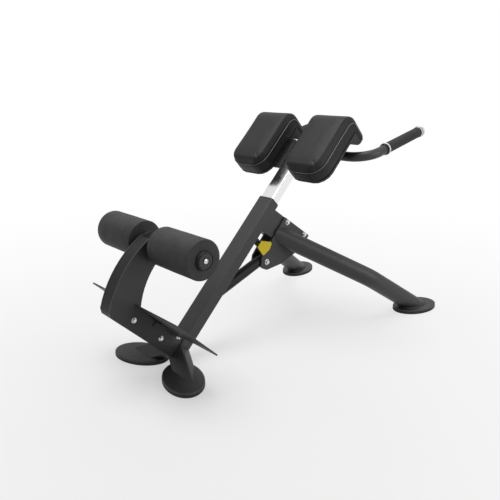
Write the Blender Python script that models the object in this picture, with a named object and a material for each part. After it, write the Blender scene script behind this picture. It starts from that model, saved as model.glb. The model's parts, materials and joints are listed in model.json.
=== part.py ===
"""Hyperextension bench: a leaning upright with a sliding chrome post, hip pads, ankle rollers and grips.

Metres, +Z up. +X points from the foot plate to the rear legs. Apart from the release tab and the
bolt heads the bench is alike on both sides of y = 0. Most pieces are placed in the upright's own
directions: how far up the upright they are, how far to the side, and how far in front of its front
face (behind it is negative).
"""

import math

import bmesh
import bpy
from mathutils import Matrix, Vector

# The upright leans back at this angle, and its front face meets the floor at this x.
LEAN = math.radians(45)
FRONT_FACE_AT_FLOOR = -0.5292
CLEARANCE = 0.0003
FLOOR_PLATE_TOP = 0.0165
WELD_DEPTH = 0.002

# Upright, chrome post and the sleeve between them
UPRIGHT_WIDTH = 0.070
UPRIGHT_DEPTH = 0.050
UPRIGHT_WALL = 0.003
UPRIGHT_BOTTOM = 0.115
UPRIGHT_TOP = 0.752
POST_WIDTH = 0.060
POST_DEPTH = 0.040
POST_WALL = 0.003
POST_BOTTOM = 0.440
POST_TOP = 1.075
HOLE_PITCH = 0.025
HOLES_ABOVE = 3
HOLES_BELOW = 3
HOLE_RADIUS = 0.0068
TUBE_CORNER = 0.006
SLEEVE_SKIRT = 0.025
SLEEVE_FLANGE = 0.004

# Lock: a sprung pin in a barrel behind the upright, and the yellow tab that pulls it
PLUNGER_HEIGHT = 0.600
PLUNGER_RADIUS = 0.006
BARREL_RADIUS = 0.013
BARREL_LENGTH = 0.050
SPRING_BORE = 0.0088
SPRING_FRONT = 0.012
SPRING_REAR = 0.046
TAB_INNER = 0.0295
TAB_OUTER = 0.0345
TAB_CORNERS = (
    (0.6045, -0.0732),
    (0.6297, -0.1187),
    (0.6272, -0.1294),
    (0.6022, -0.1349),
    (0.5667, -0.1235),
    (0.5737, -0.0722),
)

# Bracket: two plates, the gusset between them, and the bolts' height and distance in front
BRACKET_INNER = 0.0225
BRACKET_THICKNESS = 0.006
BRACKET_CORNERS = (
    (0.7490, -0.1194),
    (0.7825, -0.3012),
    (0.7668, -0.3003),
    (0.6760, -0.2799),
    (0.6003, -0.2405),
    (0.5377, -0.1870),
    (0.5265, -0.1510),
    (0.5599, -0.1291),
    (0.6477, -0.1234),
)
BRACKET_ROUNDING = (0.002, 0.004, 0.010, 0.030, 0.040, 0.030, 0.012, 0.015, 0.020)
GUSSET_WALL = 0.003
FRONT_BOLT = (0.7425, -0.1460)
REAR_BOLT = (0.7670, -0.2710)
BRACE_BOLT = (0.5620, -0.1630)
BRACKET_BOLT_RADIUS = 0.005

# Brace: a round tube from the back of the upright up to the bracket
BRACE_RADIUS = 0.021
BRACE_WALL = 0.003
BRACE_FOOT = 0.3475
BRACE_LENGTH = 0.2672
BRACE_RISE = math.radians(18.5)

# Rear legs: a bent round tube each, here for the side of negative y
REAR_LEG_RADIUS = 0.037
REAR_LEG_WALL = 0.003
REAR_LEG_TOP = (0.639, -0.0504, 0.343)
REAR_LEG_BEND = (0.874, -0.270, 0.186)
REAR_LEG_FOOT = (1.125, -0.338, 0.0165)
REAR_LEG_BEND_RADIUS = 0.16

# Front legs: a flat V of rectangular tubes in the plane of the upright
FRONT_LEG_SLOPE = math.radians(32.3)
FRONT_LEG_LOW = 0.0605
FRONT_LEG_HIGH = 0.137
FRONT_LEG_WALL = 0.003

# Oval feet
FOOT_LENGTH = 0.214
FOOT_WIDTH = 0.140
FOOT_PAD_THICKNESS = 0.0102
FOOT_STEPS = 32
FEET = {
    "front": ((0.0194, 0.123), math.radians(113.9)),
    "rear": ((1.1327, 0.3413), math.radians(15)),
}

# Arm that carries the rollers, and the beam it is bolted to
ARM_WIDTH = 0.056
ARM_PLATE = 0.005
ARM_BOTTOM = 0.0605
ARM_TOP_OF_BEAM = 0.133
ARM_FRONT_ARC = ((0.2398, 0.0098), 0.357)
ARM_REAR_ARC = ((0.2869, 0.0251), 0.2553)
ARM_FRONT_CORNER = (0.0605, 0.309)
ARM_EYE_RADIUS = 0.033
BEAM_LENGTH = 0.262
ARM_BOLTS = ((0.0939, 0.2290), (0.0937, 0.0905))
ARM_BOLT_RADIUS = 0.0047

# Foot plate
FOOT_PLATE_BOTTOM = 0.1340
FOOT_PLATE_THICKNESS = 0.005
FOOT_PLATE_REAR = 0.041
FOOT_PLATE_FRONT = 0.259
FOOT_PLATE_HALF = 0.249
FOOT_PLATE_BOLT = (0.050, 0.053)
FOOT_PLATE_BOLT_RADIUS = 0.005

# Ankle rollers
ROLLER_AT = (0.3352, 0.3125)
ROLLER_RADIUS = 0.064
ROLLER_INNER = 0.051
ROLLER_OUTER = 0.2525
ROLLER_CAP_RADIUS = 0.0305
ROLLER_CAP_FACE = 0.2625
AXLE_RADIUS = 0.0125

# Hip pads, their boards and the brackets on the post
PAD_INNER = 0.051
PAD_OUTER = 0.236
PAD_BOTTOM = 0.848
PAD_TOP = 1.130
PAD_FRONT = 0.086
PAD_SEAM = 0.058
PAD_CORNER = 0.058
PAD_EDGE = 0.018
PAD_BEND = 0.052
BOARD_THICKNESS = 0.010
FLAP_UNDER = 1.0915
FLAP_END = -0.058
BOARD_END = -0.038
LIP_BOTTOM = 1.081
PAD_BOLT_HEIGHT = 0.9685
PAD_BOLT_SIDES = (("inner", 0.095), ("outer", 0.175))
PAD_BOLT_RADIUS = 0.004

# Handlebar, given for the side of negative y
HANDLE_TUBE = 0.0185
HANDLE_WALL = 0.002
HANDLE_BACK = (0.795, 0.6815)
HANDLE_SPREAD = 0.269
HANDLE_RISE = math.radians(11.8)
HANDLE_BEND = 0.084
GRIP_START = 0.1195
GRIP_END = 0.378
GRIP_RADIUS = 0.0208
RING_RADIUS = 0.024

ROUND = 20
TUBE_SEGMENTS = 16
SIDES = (("near", -1), ("far", 1))


# Scene, frames and materials


def clear_scene():
    for item in list(bpy.data.objects):
        bpy.data.objects.remove(item)


def add_frame(name, parent=None, place=(0, 0, 0), turn=(0, 0, 0)):
    frame = bpy.data.objects.new(name, None)
    bpy.context.scene.collection.objects.link(frame)
    frame.parent = parent
    frame.location = place
    frame.rotation_euler = turn
    frame.empty_display_size = 0.05
    return frame


def add_material(name, colour, roughness, metallic=0.0):
    material = bpy.data.materials.new(name)
    material.use_nodes = True
    shader = material.node_tree.nodes["Principled BSDF"]
    shader.inputs["Base Color"].default_value = (*colour, 1.0)
    shader.inputs["Roughness"].default_value = roughness
    shader.inputs["Metallic"].default_value = metallic
    return material


def make_materials():
    return {
        "frame": add_material("frame_paint", (0.055, 0.055, 0.057), 0.5),
        "chrome": add_material("chrome", (0.83, 0.83, 0.85), 0.08, 1.0),
        "steel": add_material("zinc_steel", (0.72, 0.72, 0.74), 0.3, 1.0),
        "aluminium": add_material("aluminium", (0.80, 0.80, 0.82), 0.25, 1.0),
        "upholstery": add_material("upholstery", (0.045, 0.045, 0.046), 0.55),
        "foam": add_material("roller_foam", (0.048, 0.048, 0.050), 0.8),
        "rubber": add_material("black_rubber", (0.022, 0.022, 0.023), 0.7),
        "plastic": add_material("black_plastic", (0.018, 0.018, 0.019), 0.45),
        "yellow": add_material("yellow_plastic", (0.60, 0.49, 0.05), 0.4),
        "board": add_material("laminated_board", (0.020, 0.020, 0.021), 0.6),
    }


# Shapes


def skin(loops, ring=False):
    """A closed body through loops of equally many points; a ring joins its last loop to its first."""
    mesh = bmesh.new()
    rows = [[mesh.verts.new(point) for point in loop] for loop in loops]
    pairs = list(zip(rows, rows[1:]))
    if ring:
        pairs.append((rows[-1], rows[0]))
    else:
        mesh.faces.new(rows[0])
        mesh.faces.new(rows[-1])
    for first, second in pairs:
        for here, this in enumerate(first):
            after = (here + 1) % len(first)
            mesh.faces.new((this, first[after], second[after], second[here]))
    bmesh.ops.recalc_face_normals(mesh, faces=mesh.faces)
    return mesh


def rounded_rectangle(half_a, half_b, radius, steps=2):
    """Points of a rectangle about the origin with rounded corners."""
    points = []
    for quarter, (sign_a, sign_b) in enumerate(((1, 1), (-1, 1), (-1, -1), (1, -1))):
        for step in range(steps + 1):
            angle = math.pi / 2 * (quarter + step / steps)
            points.append(
                (
                    sign_a * (half_a - radius) + radius * math.cos(angle),
                    sign_b * (half_b - radius) + radius * math.sin(angle),
                )
            )
    return points


def arc(centre, radius, start, end, steps):
    """Points of an arc from one angle to another, both included."""
    angles = [start + (end - start) * step / steps for step in range(steps + 1)]
    return [(centre[0] + radius * math.cos(a), centre[1] + radius * math.sin(a)) for a in angles]


def rounded(corners, radii, steps=3):
    """A closed outline whose corners are rounded, each with its own radius."""
    points = []
    for index, (corner, radius) in enumerate(zip(corners, radii)):
        here = Vector(corner)
        to_last = (Vector(corners[index - 1]) - here).normalized()
        to_next = (Vector(corners[(index + 1) % len(corners)]) - here).normalized()
        half = to_last.angle(to_next) / 2
        if radius == 0:
            points.append(tuple(here))
            continue
        middle = here + (to_last + to_next).normalized() * radius / math.sin(half)
        reach = radius / math.tan(half)
        first, last = here + to_last * reach - middle, here + to_next * reach - middle
        sweep = first.angle(last)
        turn = math.copysign(1, first.x * last.y - first.y * last.x)
        for step in range(steps + 1):
            angle = turn * sweep * step / steps
            spoke = Vector(
                (
                    first.x * math.cos(angle) - first.y * math.sin(angle),
                    first.x * math.sin(angle) + first.y * math.cos(angle),
                )
            )
            points.append(tuple(middle + spoke))
    return points


def prism_across(outline, low, high):
    """An outline of (height, front) points extruded sideways."""
    return skin([[(s, y, v) for s, v in outline] for y in (low, high)])


def prism_up(outline, low, high):
    """An outline of (side, front) points extruded up the upright."""
    return skin([[(s, y, v) for y, v in outline] for s in (low, high)])


def prism_forward(outline, low, high):
    """An outline of (height, side) points extruded forward from the upright."""
    return skin([[(s, y, v) for s, y in outline] for v in (low, high)])


def block(low, high):
    corners = [(low[0], low[1]), (high[0], low[1]), (high[0], high[1]), (low[0], high[1])]
    return skin([[(a, b, c) for a, b in corners] for c in (low[2], high[2])])


def turned(profile, centre, axis, ring=False, segments=ROUND):
    """A body turned about an axis; the profile holds (radius, distance along the axis) points."""
    mesh = bmesh.new()
    centre, axis = Vector(centre), Vector(axis).normalized()
    across = axis.orthogonal().normalized()
    verts = [mesh.verts.new(centre + axis * along + across * radius) for radius, along in profile]
    edges = [mesh.edges.new(pair) for pair in zip(verts, verts[1:])]
    if ring:
        edges.append(mesh.edges.new((verts[-1], verts[0])))
    bmesh.ops.spin(
        mesh,
        geom=verts + edges,
        cent=centre,
        axis=axis,
        angle=2 * math.pi,
        steps=segments,
        use_merge=True,
    )
    bmesh.ops.remove_doubles(mesh, verts=mesh.verts, dist=1e-6)
    bmesh.ops.recalc_face_normals(mesh, faces=mesh.faces)
    return mesh


def bar(centre, axis, radius, low, high, segments=ROUND):
    return turned([(0, low), (radius, low), (radius, high), (0, high)], centre, axis, False, segments)


def pipe(centre, axis, inner, outer, low, high, segments=ROUND):
    profile = [(inner, low), (outer, low), (outer, high), (inner, high)]
    return turned(profile, centre, axis, True, segments)


def hexagon_turns(flats):
    """Twelve points round a hexagon: its corners and the middles of its flats."""
    corner = flats / 2 / math.cos(math.pi / 6)
    radii = [corner if index % 2 == 0 else flats / 2 for index in range(12)]
    return [
        (radius * math.cos(index * math.pi / 6), radius * math.sin(index * math.pi / 6))
        for index, radius in enumerate(radii)
    ]


def circle_turns(radius, count=12):
    return [
        (radius * math.cos(2 * math.pi * index / count), radius * math.sin(2 * math.pi * index / count))
        for index in range(count)
    ]


def loops_on_axis(stations, centre, axis):
    """Loops of (across, up) points set along an axis at the given distances."""
    centre, axis = Vector(centre), Vector(axis).normalized()
    across = axis.orthogonal().normalized()
    upward = axis.cross(across)
    return [
        [centre + axis * along + across * a + upward * b for a, b in loop] for loop, along in stations
    ]


def through_bolt(centre, axis, flats, radius, reach):
    """A bolt with its head, nut and two washers, which stand this far to each side of the centre."""
    washer, head, tail = flats * 0.13, flats * 0.40, flats * 0.18
    wide, shank = circle_turns(flats * 0.62), circle_turns(radius)
    flat, crown = hexagon_turns(flats), circle_turns(flats * 0.46)
    stations = [(crown, -reach - washer - head)]
    stations += [(flat, -reach - washer - head * 0.85), (flat, -reach - washer)]
    stations += [(wide, -reach - washer), (wide, -reach), (shank, -reach), (shank, reach)]
    stations += [(wide, reach), (wide, reach + washer), (flat, reach + washer)]
    stations += [(flat, reach + washer + head * 0.9), (crown, reach + washer + head)]
    stations += [(shank, reach + washer + head), (shank, reach + washer + head + tail)]
    return skin(loops_on_axis(stations, centre, axis))


def dome_bolt(centre, axis, radius, grip):
    """A round-headed bolt whose head stands on the centre, with a nut at the end of its grip."""
    flats, height = radius * 3.2, radius * 1.2
    flat, shank = hexagon_turns(flats), circle_turns(radius)
    stations = [(circle_turns(radius * 0.9), radius * 0.75), (circle_turns(radius * 1.6), radius * 0.45)]
    stations += [(circle_turns(radius * 2), 0), (shank, 0), (shank, -grip), (flat, -grip)]
    stations += [(flat, -grip - height), (shank, -grip - height), (shank, -grip - height * 1.4)]
    return skin(loops_on_axis(stations, centre, axis))


def rounded_path(corners, radii, steps):
    """A path through corners in space whose inner corners are arcs."""
    points = [Vector(corners[0])]
    for last, corner, after, radius in zip(corners, corners[1:], corners[2:], radii):
        here = Vector(corner)
        to_last = (Vector(last) - here).normalized()
        to_next = (Vector(after) - here).normalized()
        half = to_last.angle(to_next) / 2
        middle = here + (to_last + to_next).normalized() * radius / math.sin(half)
        first = here + to_last * radius / math.tan(half) - middle
        final = here + to_next * radius / math.tan(half) - middle
        sweep = first.angle(final)
        for step in range(steps + 1):
            turn = Matrix.Rotation(sweep * step / steps, 3, first.cross(final))
            points.append(middle + turn @ first)
    points.append(Vector(corners[-1]))
    return points


def swept_rings(path, radius, cuts=(None, None), segments=TUBE_SEGMENTS):
    """Rings of a round tube along a path, its ends square or cut by planes with the given normals."""
    rings = []
    side = None
    for index, point in enumerate(path):
        back = path[max(index - 1, 0)]
        ahead = path[min(index + 1, len(path) - 1)]
        if 0 < index < len(path) - 1:
            along = ((ahead - point).normalized() + (point - back).normalized()).normalized()
        else:
            along = (ahead - back).normalized()
        if side is None:
            side = along.orthogonal()
        side = (side - along * side.dot(along)).normalized()
        other = along.cross(side)
        ring = []
        for turn in range(segments):
            angle = 2 * math.pi * turn / segments
            ring.append(point + (side * math.cos(angle) + other * math.sin(angle)) * radius)
        cut = cuts[0] if index == 0 else cuts[1] if index == len(path) - 1 else None
        if cut is not None:
            normal = Vector(cut)
            ring = [spot + along * (point - spot).dot(normal) / along.dot(normal) for spot in ring]
        rings.append(ring)
    return rings


def swept_tube(path, radius, wall, cuts=(None, None)):
    outside = swept_rings(path, radius, cuts)
    inside = swept_rings(path, radius - wall, cuts)
    return skin(outside + inside[::-1], ring=True)


def joined(meshes):
    """Several cutting shapes in one mesh."""
    whole = bmesh.new()
    for mesh in meshes:
        piece = bpy.data.meshes.new("piece")
        mesh.to_mesh(piece)
        mesh.free()
        whole.from_mesh(piece)
        bpy.data.meshes.remove(piece)
    return whole


# Objects


def add_part(name, mesh, material, frame, anchor=(0, 0, 0), smooth=True):
    """An object at an anchor in its frame, from a mesh given in that frame's directions."""
    bmesh.ops.translate(mesh, verts=mesh.verts, vec=-Vector(anchor))
    data = bpy.data.meshes.new(name)
    mesh.to_mesh(data)
    mesh.free()
    data.materials.append(material)
    if smooth:
        data.shade_smooth()
        data.set_sharp_from_angle(angle=math.radians(35))
    part = bpy.data.objects.new(name, data)
    bpy.context.scene.collection.objects.link(part)
    part.parent = frame
    part.location = anchor
    return part


def bevel(part, width, segments=1, angle=50):
    modifier = part.modifiers.new("edges", "BEVEL")
    modifier.width = width
    modifier.segments = segments
    modifier.limit_method = "ANGLE"
    modifier.angle_limit = math.radians(angle)


def cut(part, mesh, frame):
    """Takes a shape, given in the frame's directions, out of a part."""
    data = bpy.data.meshes.new(part.name + "_cut")
    mesh.to_mesh(data)
    mesh.free()
    cutter = bpy.data.objects.new(part.name + "_cut", data)
    bpy.context.scene.collection.objects.link(cutter)
    cutter.parent = frame
    cutter.hide_render = True
    cutter.display_type = "WIRE"
    modifier = part.modifiers.new("cut", "BOOLEAN")
    modifier.operation = "DIFFERENCE"
    modifier.object = cutter


def fuse(part, mesh, frame):
    """Joins a shape, given in the frame's directions, to a part as one body."""
    cut(part, mesh, frame)
    part.modifiers[-1].operation = "UNION"


# Frame


def box_tube(half_side, half_front, corner, wall, middle, low, high):
    """A rectangular tube up the upright, its middle at this distance in front of the upright."""

    def loop(height, inset):
        outline = rounded_rectangle(half_side - inset, half_front - inset, corner - inset)
        return [(height, y, middle + v) for y, v in outline]

    return skin([loop(low, 0), loop(high, 0), loop(high, wall), loop(low, wall)], ring=True)


def make_upright(lean, look):
    """The leaning tube, with the lock's barrel welded to its back and bored for the pin and spring."""
    middle = -UPRIGHT_DEPTH / 2
    mesh = box_tube(
        UPRIGHT_WIDTH / 2,
        UPRIGHT_DEPTH / 2,
        TUBE_CORNER,
        UPRIGHT_WALL,
        middle,
        UPRIGHT_BOTTOM,
        UPRIGHT_TOP,
    )
    upright = add_part("main_upright", mesh, look["frame"], lean, (UPRIGHT_BOTTOM, 0, middle))
    at = (PLUNGER_HEIGHT, 0, -UPRIGHT_DEPTH)
    end = -BARREL_LENGTH
    barrel = [(0, 0.001), (BARREL_RADIUS, 0.001), (BARREL_RADIUS, end + 0.001)]
    barrel += [(BARREL_RADIUS - 0.001, end), (0, end)]
    fuse(upright, turned(barrel, at, (0, 0, 1)), lean)
    pin = PLUNGER_RADIUS + CLEARANCE
    bore = [(0, 0.006), (pin, 0.006), (pin, -SPRING_FRONT), (SPRING_BORE, -SPRING_FRONT)]
    bore += [(SPRING_BORE, -SPRING_REAR), (pin, -SPRING_REAR), (pin, end - 0.01), (0, end - 0.01)]
    cut(upright, turned(bore, at, (0, 0, 1)), lean)


def make_sleeve(lean, look):
    """Plastic guide in the top of the upright: a skirt inside the tube and a flange on its end."""
    middle = -UPRIGHT_DEPTH / 2
    inner_side = UPRIGHT_WIDTH / 2 - UPRIGHT_WALL - CLEARANCE
    inner_front = UPRIGHT_DEPTH / 2 - UPRIGHT_WALL - CLEARANCE
    bore_side = POST_WIDTH / 2 + CLEARANCE
    bore_front = POST_DEPTH / 2 + CLEARANCE
    seat = UPRIGHT_TOP + CLEARANCE

    def loop(height, side, front, corner):
        return [(height, y, middle + v) for y, v in rounded_rectangle(side, front, corner)]

    loops = [
        loop(UPRIGHT_TOP - SLEEVE_SKIRT, inner_side, inner_front, 0.0027),
        loop(seat, inner_side, inner_front, 0.0027),
        loop(seat, UPRIGHT_WIDTH / 2, UPRIGHT_DEPTH / 2, TUBE_CORNER),
        loop(seat + SLEEVE_FLANGE, UPRIGHT_WIDTH / 2 - 0.001, UPRIGHT_DEPTH / 2 - 0.001, 0.005),
        loop(seat + SLEEVE_FLANGE, bore_side, bore_front, 0.0045),
        loop(UPRIGHT_TOP - SLEEVE_SKIRT, bore_side, bore_front, 0.0045),
    ]
    add_part("upright_top_sleeve", skin(loops, ring=True), look["plastic"], lean, (UPRIGHT_TOP, 0, middle))


def make_front_legs(bench, lean, look):
    slope = math.tan(FRONT_LEG_SLOPE)
    flat_top = UPRIGHT_BOTTOM - CLEARANCE
    far_out = 0.24
    for side, sign in SIDES:

        def outline(inset, start):
            edge = inset / math.cos(FRONT_LEG_SLOPE)
            low, high = FRONT_LEG_LOW + edge, FRONT_LEG_HIGH - edge
            top = flat_top - inset
            points = [
                (low - slope * start, start),
                (top, start),
                (top, (high - top) / slope),
                (high - slope * far_out, far_out),
                (low - slope * far_out, far_out),
            ]
            return [(s, sign * y) for s, y in points]

        mesh = prism_forward(outline(0, CLEARANCE / 2), -UPRIGHT_DEPTH, 0)
        round_long_edges(mesh, TUBE_CORNER, sign)
        leg = add_part(f"front_leg_{side}", mesh, look["frame"], lean)
        hollow = prism_forward(
            outline(FRONT_LEG_WALL, -0.004), -UPRIGHT_DEPTH + FRONT_LEG_WALL, -FRONT_LEG_WALL
        )
        cut(leg, hollow, lean)
        cut(leg, block((-0.3, -0.4, -0.3), (0.4, 0.4, FLOOR_PLATE_TOP - WELD_DEPTH)), bench)
        fuse(leg, welded_foot("front", sign), bench)


def round_long_edges(mesh, radius, sign):
    """Rounds the edges that run down a front leg."""
    along = Vector((-math.sin(FRONT_LEG_SLOPE), sign * math.cos(FRONT_LEG_SLOPE), 0))
    edges = []
    for edge in mesh.edges:
        direction = (edge.verts[1].co - edge.verts[0].co).normalized()
        if abs(direction.dot(along)) > 0.999:
            edges.append(edge)
    bmesh.ops.bevel(mesh, geom=edges, offset=radius, segments=2, profile=0.5, affect="EDGES")


def foot_outline():
    return [
        (FOOT_LENGTH / 2 * math.cos(turn), FOOT_WIDTH / 2 * math.sin(turn))
        for turn in (2 * math.pi * step / FOOT_STEPS for step in range(FOOT_STEPS))
    ]


def foot_at(end, sign, levels):
    """An oval disc at a leg's foot, through levels of (inset, height)."""
    (x, y), turn = FEET[end]
    mesh = foot_disc(foot_outline(), levels)
    place = Matrix.Translation((x, sign * y, 0)) @ Matrix.Rotation(sign * turn, 4, "Z")
    bmesh.ops.transform(mesh, matrix=place, verts=mesh.verts)
    return mesh


def welded_foot(end, sign):
    low = FOOT_PAD_THICKNESS + CLEARANCE
    return foot_at(end, sign, [(0.0005, low), (0.0005, 0.0140), (0.003, FLOOR_PLATE_TOP)])


def make_rubber_feet(bench, look):
    for end in FEET:
        for side, sign in SIDES:
            mesh = foot_at(end, sign, [(0.003, 0), (0, 0.002), (0, FOOT_PAD_THICKNESS)])
            (x, y), _ = FEET[end]
            add_part(f"rubber_foot_{end}_{side}", mesh, look["rubber"], bench, (x, sign * y, 0))


def foot_disc(outline, levels):
    """An oval disc through levels of (inset, height)."""
    loops = []
    for inset, height in levels:
        across, along = 1 - 2 * inset / FOOT_LENGTH, 1 - 2 * inset / FOOT_WIDTH
        loops.append([(x * across, y * along, height) for x, y in outline])
    return skin(loops)


def make_rear_legs(bench, look):
    plate_face = BRACKET_INNER + BRACKET_THICKNESS + 2 * CLEARANCE
    for side, sign in SIDES:
        corners = [Vector((x, -sign * y, z)) for x, y, z in (REAR_LEG_TOP, REAR_LEG_BEND, REAR_LEG_FOOT)]
        down = (corners[1] - corners[0]).normalized()
        corners[0] = corners[0] + down * (plate_face - abs(corners[0].y)) / abs(down.y)
        foot_down = (corners[2] - corners[1]).normalized()
        corners[2] = corners[2] - foot_down * WELD_DEPTH / foot_down.z
        path = rounded_path(corners, [REAR_LEG_BEND_RADIUS], 5)
        mesh = swept_tube(path, REAR_LEG_RADIUS, REAR_LEG_WALL, ((0, 1, 0), (0, 0, 1)))
        leg = add_part(f"rear_leg_{side}", mesh, look["frame"], bench, tuple(corners[0]))
        fuse(leg, welded_foot("rear", sign), bench)


def make_brace(lean, look):
    """The round tube behind the upright, with a bush through its end for the low bolt."""
    along = Vector((math.sin(LEAN + BRACE_RISE), 0, -math.cos(LEAN + BRACE_RISE)))
    foot = Vector((BRACE_FOOT, 0, -UPRIGHT_DEPTH - CLEARANCE))
    tube = swept_tube([foot, foot + along * BRACE_LENGTH], BRACE_RADIUS, BRACE_WALL, ((0, 0, 1), None))
    brace = add_part("brace_tube", tube, look["frame"], lean, tuple(foot))
    bush_end = BRACKET_INNER - CLEARANCE
    fuse(brace, bar((BRACE_BOLT[0], 0, BRACE_BOLT[1]), (0, 1, 0), 0.0115, -bush_end, bush_end, 16), lean)
    cut(brace, bolt_bore(BRACE_BOLT, BRACKET_BOLT_RADIUS, 0.1), lean)


def bolt_bore(at, radius, half_length):
    """A cutter for a bolt hole that runs across the bench."""
    return bar((at[0], 0, at[1]), (0, 1, 0), radius + CLEARANCE, -half_length, half_length, 16)


def gusset_outline(inset, rear):
    """The gusset from the side: its top and bottom edges run back from the upright."""
    front = -UPRIGHT_DEPTH - CLEARANCE
    return [
        (0.7374 - inset, front),
        (0.7500 - inset, -0.1234),
        (0.7525 - inset, rear),
        (0.6595 + inset, rear),
        (0.6360 + inset, front),
    ]


def make_gusset(lean, look):
    """A folded box on the back of the upright, open to the rear, which the bracket plates clasp."""
    half = BRACKET_INNER - CLEARANCE
    mesh = prism_across(gusset_outline(0, -0.168), -half, half)
    gusset = add_part("upright_gusset", mesh, look["frame"], lean, (0.7374, 0, -UPRIGHT_DEPTH - CLEARANCE))
    hollow = [(s, v - GUSSET_WALL) for s, v in gusset_outline(GUSSET_WALL, -0.175)]
    cut(gusset, prism_across(hollow, GUSSET_WALL - half, half - GUSSET_WALL), lean)
    cut(gusset, bolt_bore(FRONT_BOLT, BRACKET_BOLT_RADIUS, 0.05), lean)


def make_brackets(lean, look):
    for side, sign in SIDES:
        low, high = sorted((sign * BRACKET_INNER, sign * (BRACKET_INNER + BRACKET_THICKNESS)))
        outline = rounded(BRACKET_CORNERS, BRACKET_ROUNDING)
        anchor = (FRONT_BOLT[0], sign * BRACKET_INNER, FRONT_BOLT[1])
        name = f"bracket_plate_{side}"
        plate = add_part(name, prism_across(outline, low, high), look["frame"], lean, anchor)
        bores = [bolt_bore(at, BRACKET_BOLT_RADIUS, 0.1) for at in (FRONT_BOLT, REAR_BOLT, BRACE_BOLT)]
        cut(plate, joined(bores), lean)


def make_bracket_fasteners(lean, look):
    """Three bolts across the bracket, each with washers and a nut, and the tube between the plates."""
    outside = BRACKET_INNER + BRACKET_THICKNESS + CLEARANCE
    for name, (s, v) in (("front", FRONT_BOLT), ("rear", REAR_BOLT), ("low", BRACE_BOLT)):
        mesh = through_bolt((s, 0, v), (0, 1, 0), 0.0175, BRACKET_BOLT_RADIUS, outside)
        add_part(f"bracket_bolt_{name}", mesh, look["steel"], lean, (s, 0, v))
    s, v = REAR_BOLT
    inside = BRACKET_INNER - CLEARANCE
    spacer = pipe((s, 0, v), (0, 1, 0), BRACKET_BOLT_RADIUS + CLEARANCE, 0.0095, -inside, inside, 16)
    add_part("bracket_spacer", spacer, look["frame"], lean, (s, 0, v))


# Arm, foot plate and rollers


def on_arc(curve, height):
    """The point in front of the upright where an arm's arc has this height."""
    (s, v), radius = curve
    return (height, v + math.sqrt(radius**2 - (height - s) ** 2))


def arc_heights(low, high, steps):
    return [low + (high - low) * step / steps for step in range(steps + 1)]


def arm_front_edge(steps=10):
    """The front edge of the arm, from just above its bottom corner to the eye."""
    return [on_arc(ARM_FRONT_ARC, height) for height in arc_heights(0.0705, 0.330, steps)]


def arm_rear_edge(steps=7):
    """The rear edge of the arm, from the eye down to the foot plate."""
    low = FOOT_PLATE_BOTTOM + FOOT_PLATE_THICKNESS
    return [on_arc(ARM_REAR_ARC, height) for height in arc_heights(low, 0.272, steps)][::-1]


def arm_outline():
    s, v = ROLLER_AT
    eye = arc((s, v), ARM_EYE_RADIUS, math.radians(72), math.radians(-92), 9)
    rear = arm_rear_edge()
    return [
        (ARM_BOTTOM, CLEARANCE),
        (ARM_BOTTOM, ARM_FRONT_CORNER[1]),
        *arm_front_edge(),
        *eye,
        *rear,
        (ARM_TOP_OF_BEAM, rear[-1][1]),
        (ARM_TOP_OF_BEAM, CLEARANCE),
    ]


def foot_plate_angle(sign):
    """An angle welded to the outside of an arm plate, which the foot plate is bolted to."""
    top = FOOT_PLATE_BOTTOM - CLEARANCE
    wall, inner, outer, low = 0.004, ARM_WIDTH / 2 - 0.001, 0.062, 0.1125
    face = ARM_WIDTH / 2 + wall
    corners = [(top, inner), (top, outer), (top - wall, outer)]
    corners += [(top - wall, face), (low, face), (low, inner)]
    return prism_forward([(s, sign * y) for s, y in corners], 0.038, 0.150)


def make_arm(lean, look):
    half = ARM_WIDTH / 2
    roller = (ROLLER_AT[0], 0, ROLLER_AT[1])
    for side, sign in SIDES:
        low, high = sorted((sign * half, sign * (half - ARM_PLATE)))
        plate = add_part(
            f"arm_plate_{side}", prism_across(arm_outline(), low, high), look["frame"], lean, roller
        )
        fuse(plate, foot_plate_angle(sign), lean)
        bores = [bolt_bore(at, ARM_BOLT_RADIUS, 0.06) for at in ARM_BOLTS]
        at = (FOOT_PLATE_BOTTOM, sign * FOOT_PLATE_BOLT[1], FOOT_PLATE_BOLT[0])
        bores.append(bar(at, (1, 0, 0), FOOT_PLATE_BOLT_RADIUS + CLEARANCE, -0.01, 0.01, 12))
        bores.append(bar(roller, (0, 1, 0), AXLE_RADIUS + CLEARANCE, -0.06, 0.06))
        cut(plate, joined(bores), lean)
    inside = half - ARM_PLATE - CLEARANCE
    make_arm_covers(lean, look, inside)
    beam_outline = rounded_rectangle(inside, (ARM_TOP_OF_BEAM - 0.0655) / 2, 0.004)
    middle = (ARM_TOP_OF_BEAM + 0.0655) / 2
    loops = []
    for front, inset in ((CLEARANCE, 0), (BEAM_LENGTH, 0), (BEAM_LENGTH, 1), (CLEARANCE, 1)):
        side_scale = (inside - inset * 0.003) / inside
        half_height = (ARM_TOP_OF_BEAM - 0.0655) / 2
        height_scale = (half_height - inset * 0.003) / half_height
        loops.append([(middle + s * height_scale, y * side_scale, front) for y, s in beam_outline])
    beam = add_part("arm_beam", skin(loops, ring=True), look["frame"], lean, (middle, 0, 0))
    cut(beam, joined([bolt_bore(at, ARM_BOLT_RADIUS, 0.06) for at in ARM_BOLTS]), lean)


def thick_strip(outer, thickness):
    """A closed outline: a line of points and the same line set back by a thickness to its left."""
    inner = []
    for index, point in enumerate(outer):
        back = Vector(outer[max(index - 1, 0)])
        ahead = Vector(outer[min(index + 1, len(outer) - 1)])
        along = (ahead - back).normalized()
        inner.append((point[0] - along.y * thickness, point[1] + along.x * thickness))
    return outer + inner[::-1]


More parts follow.
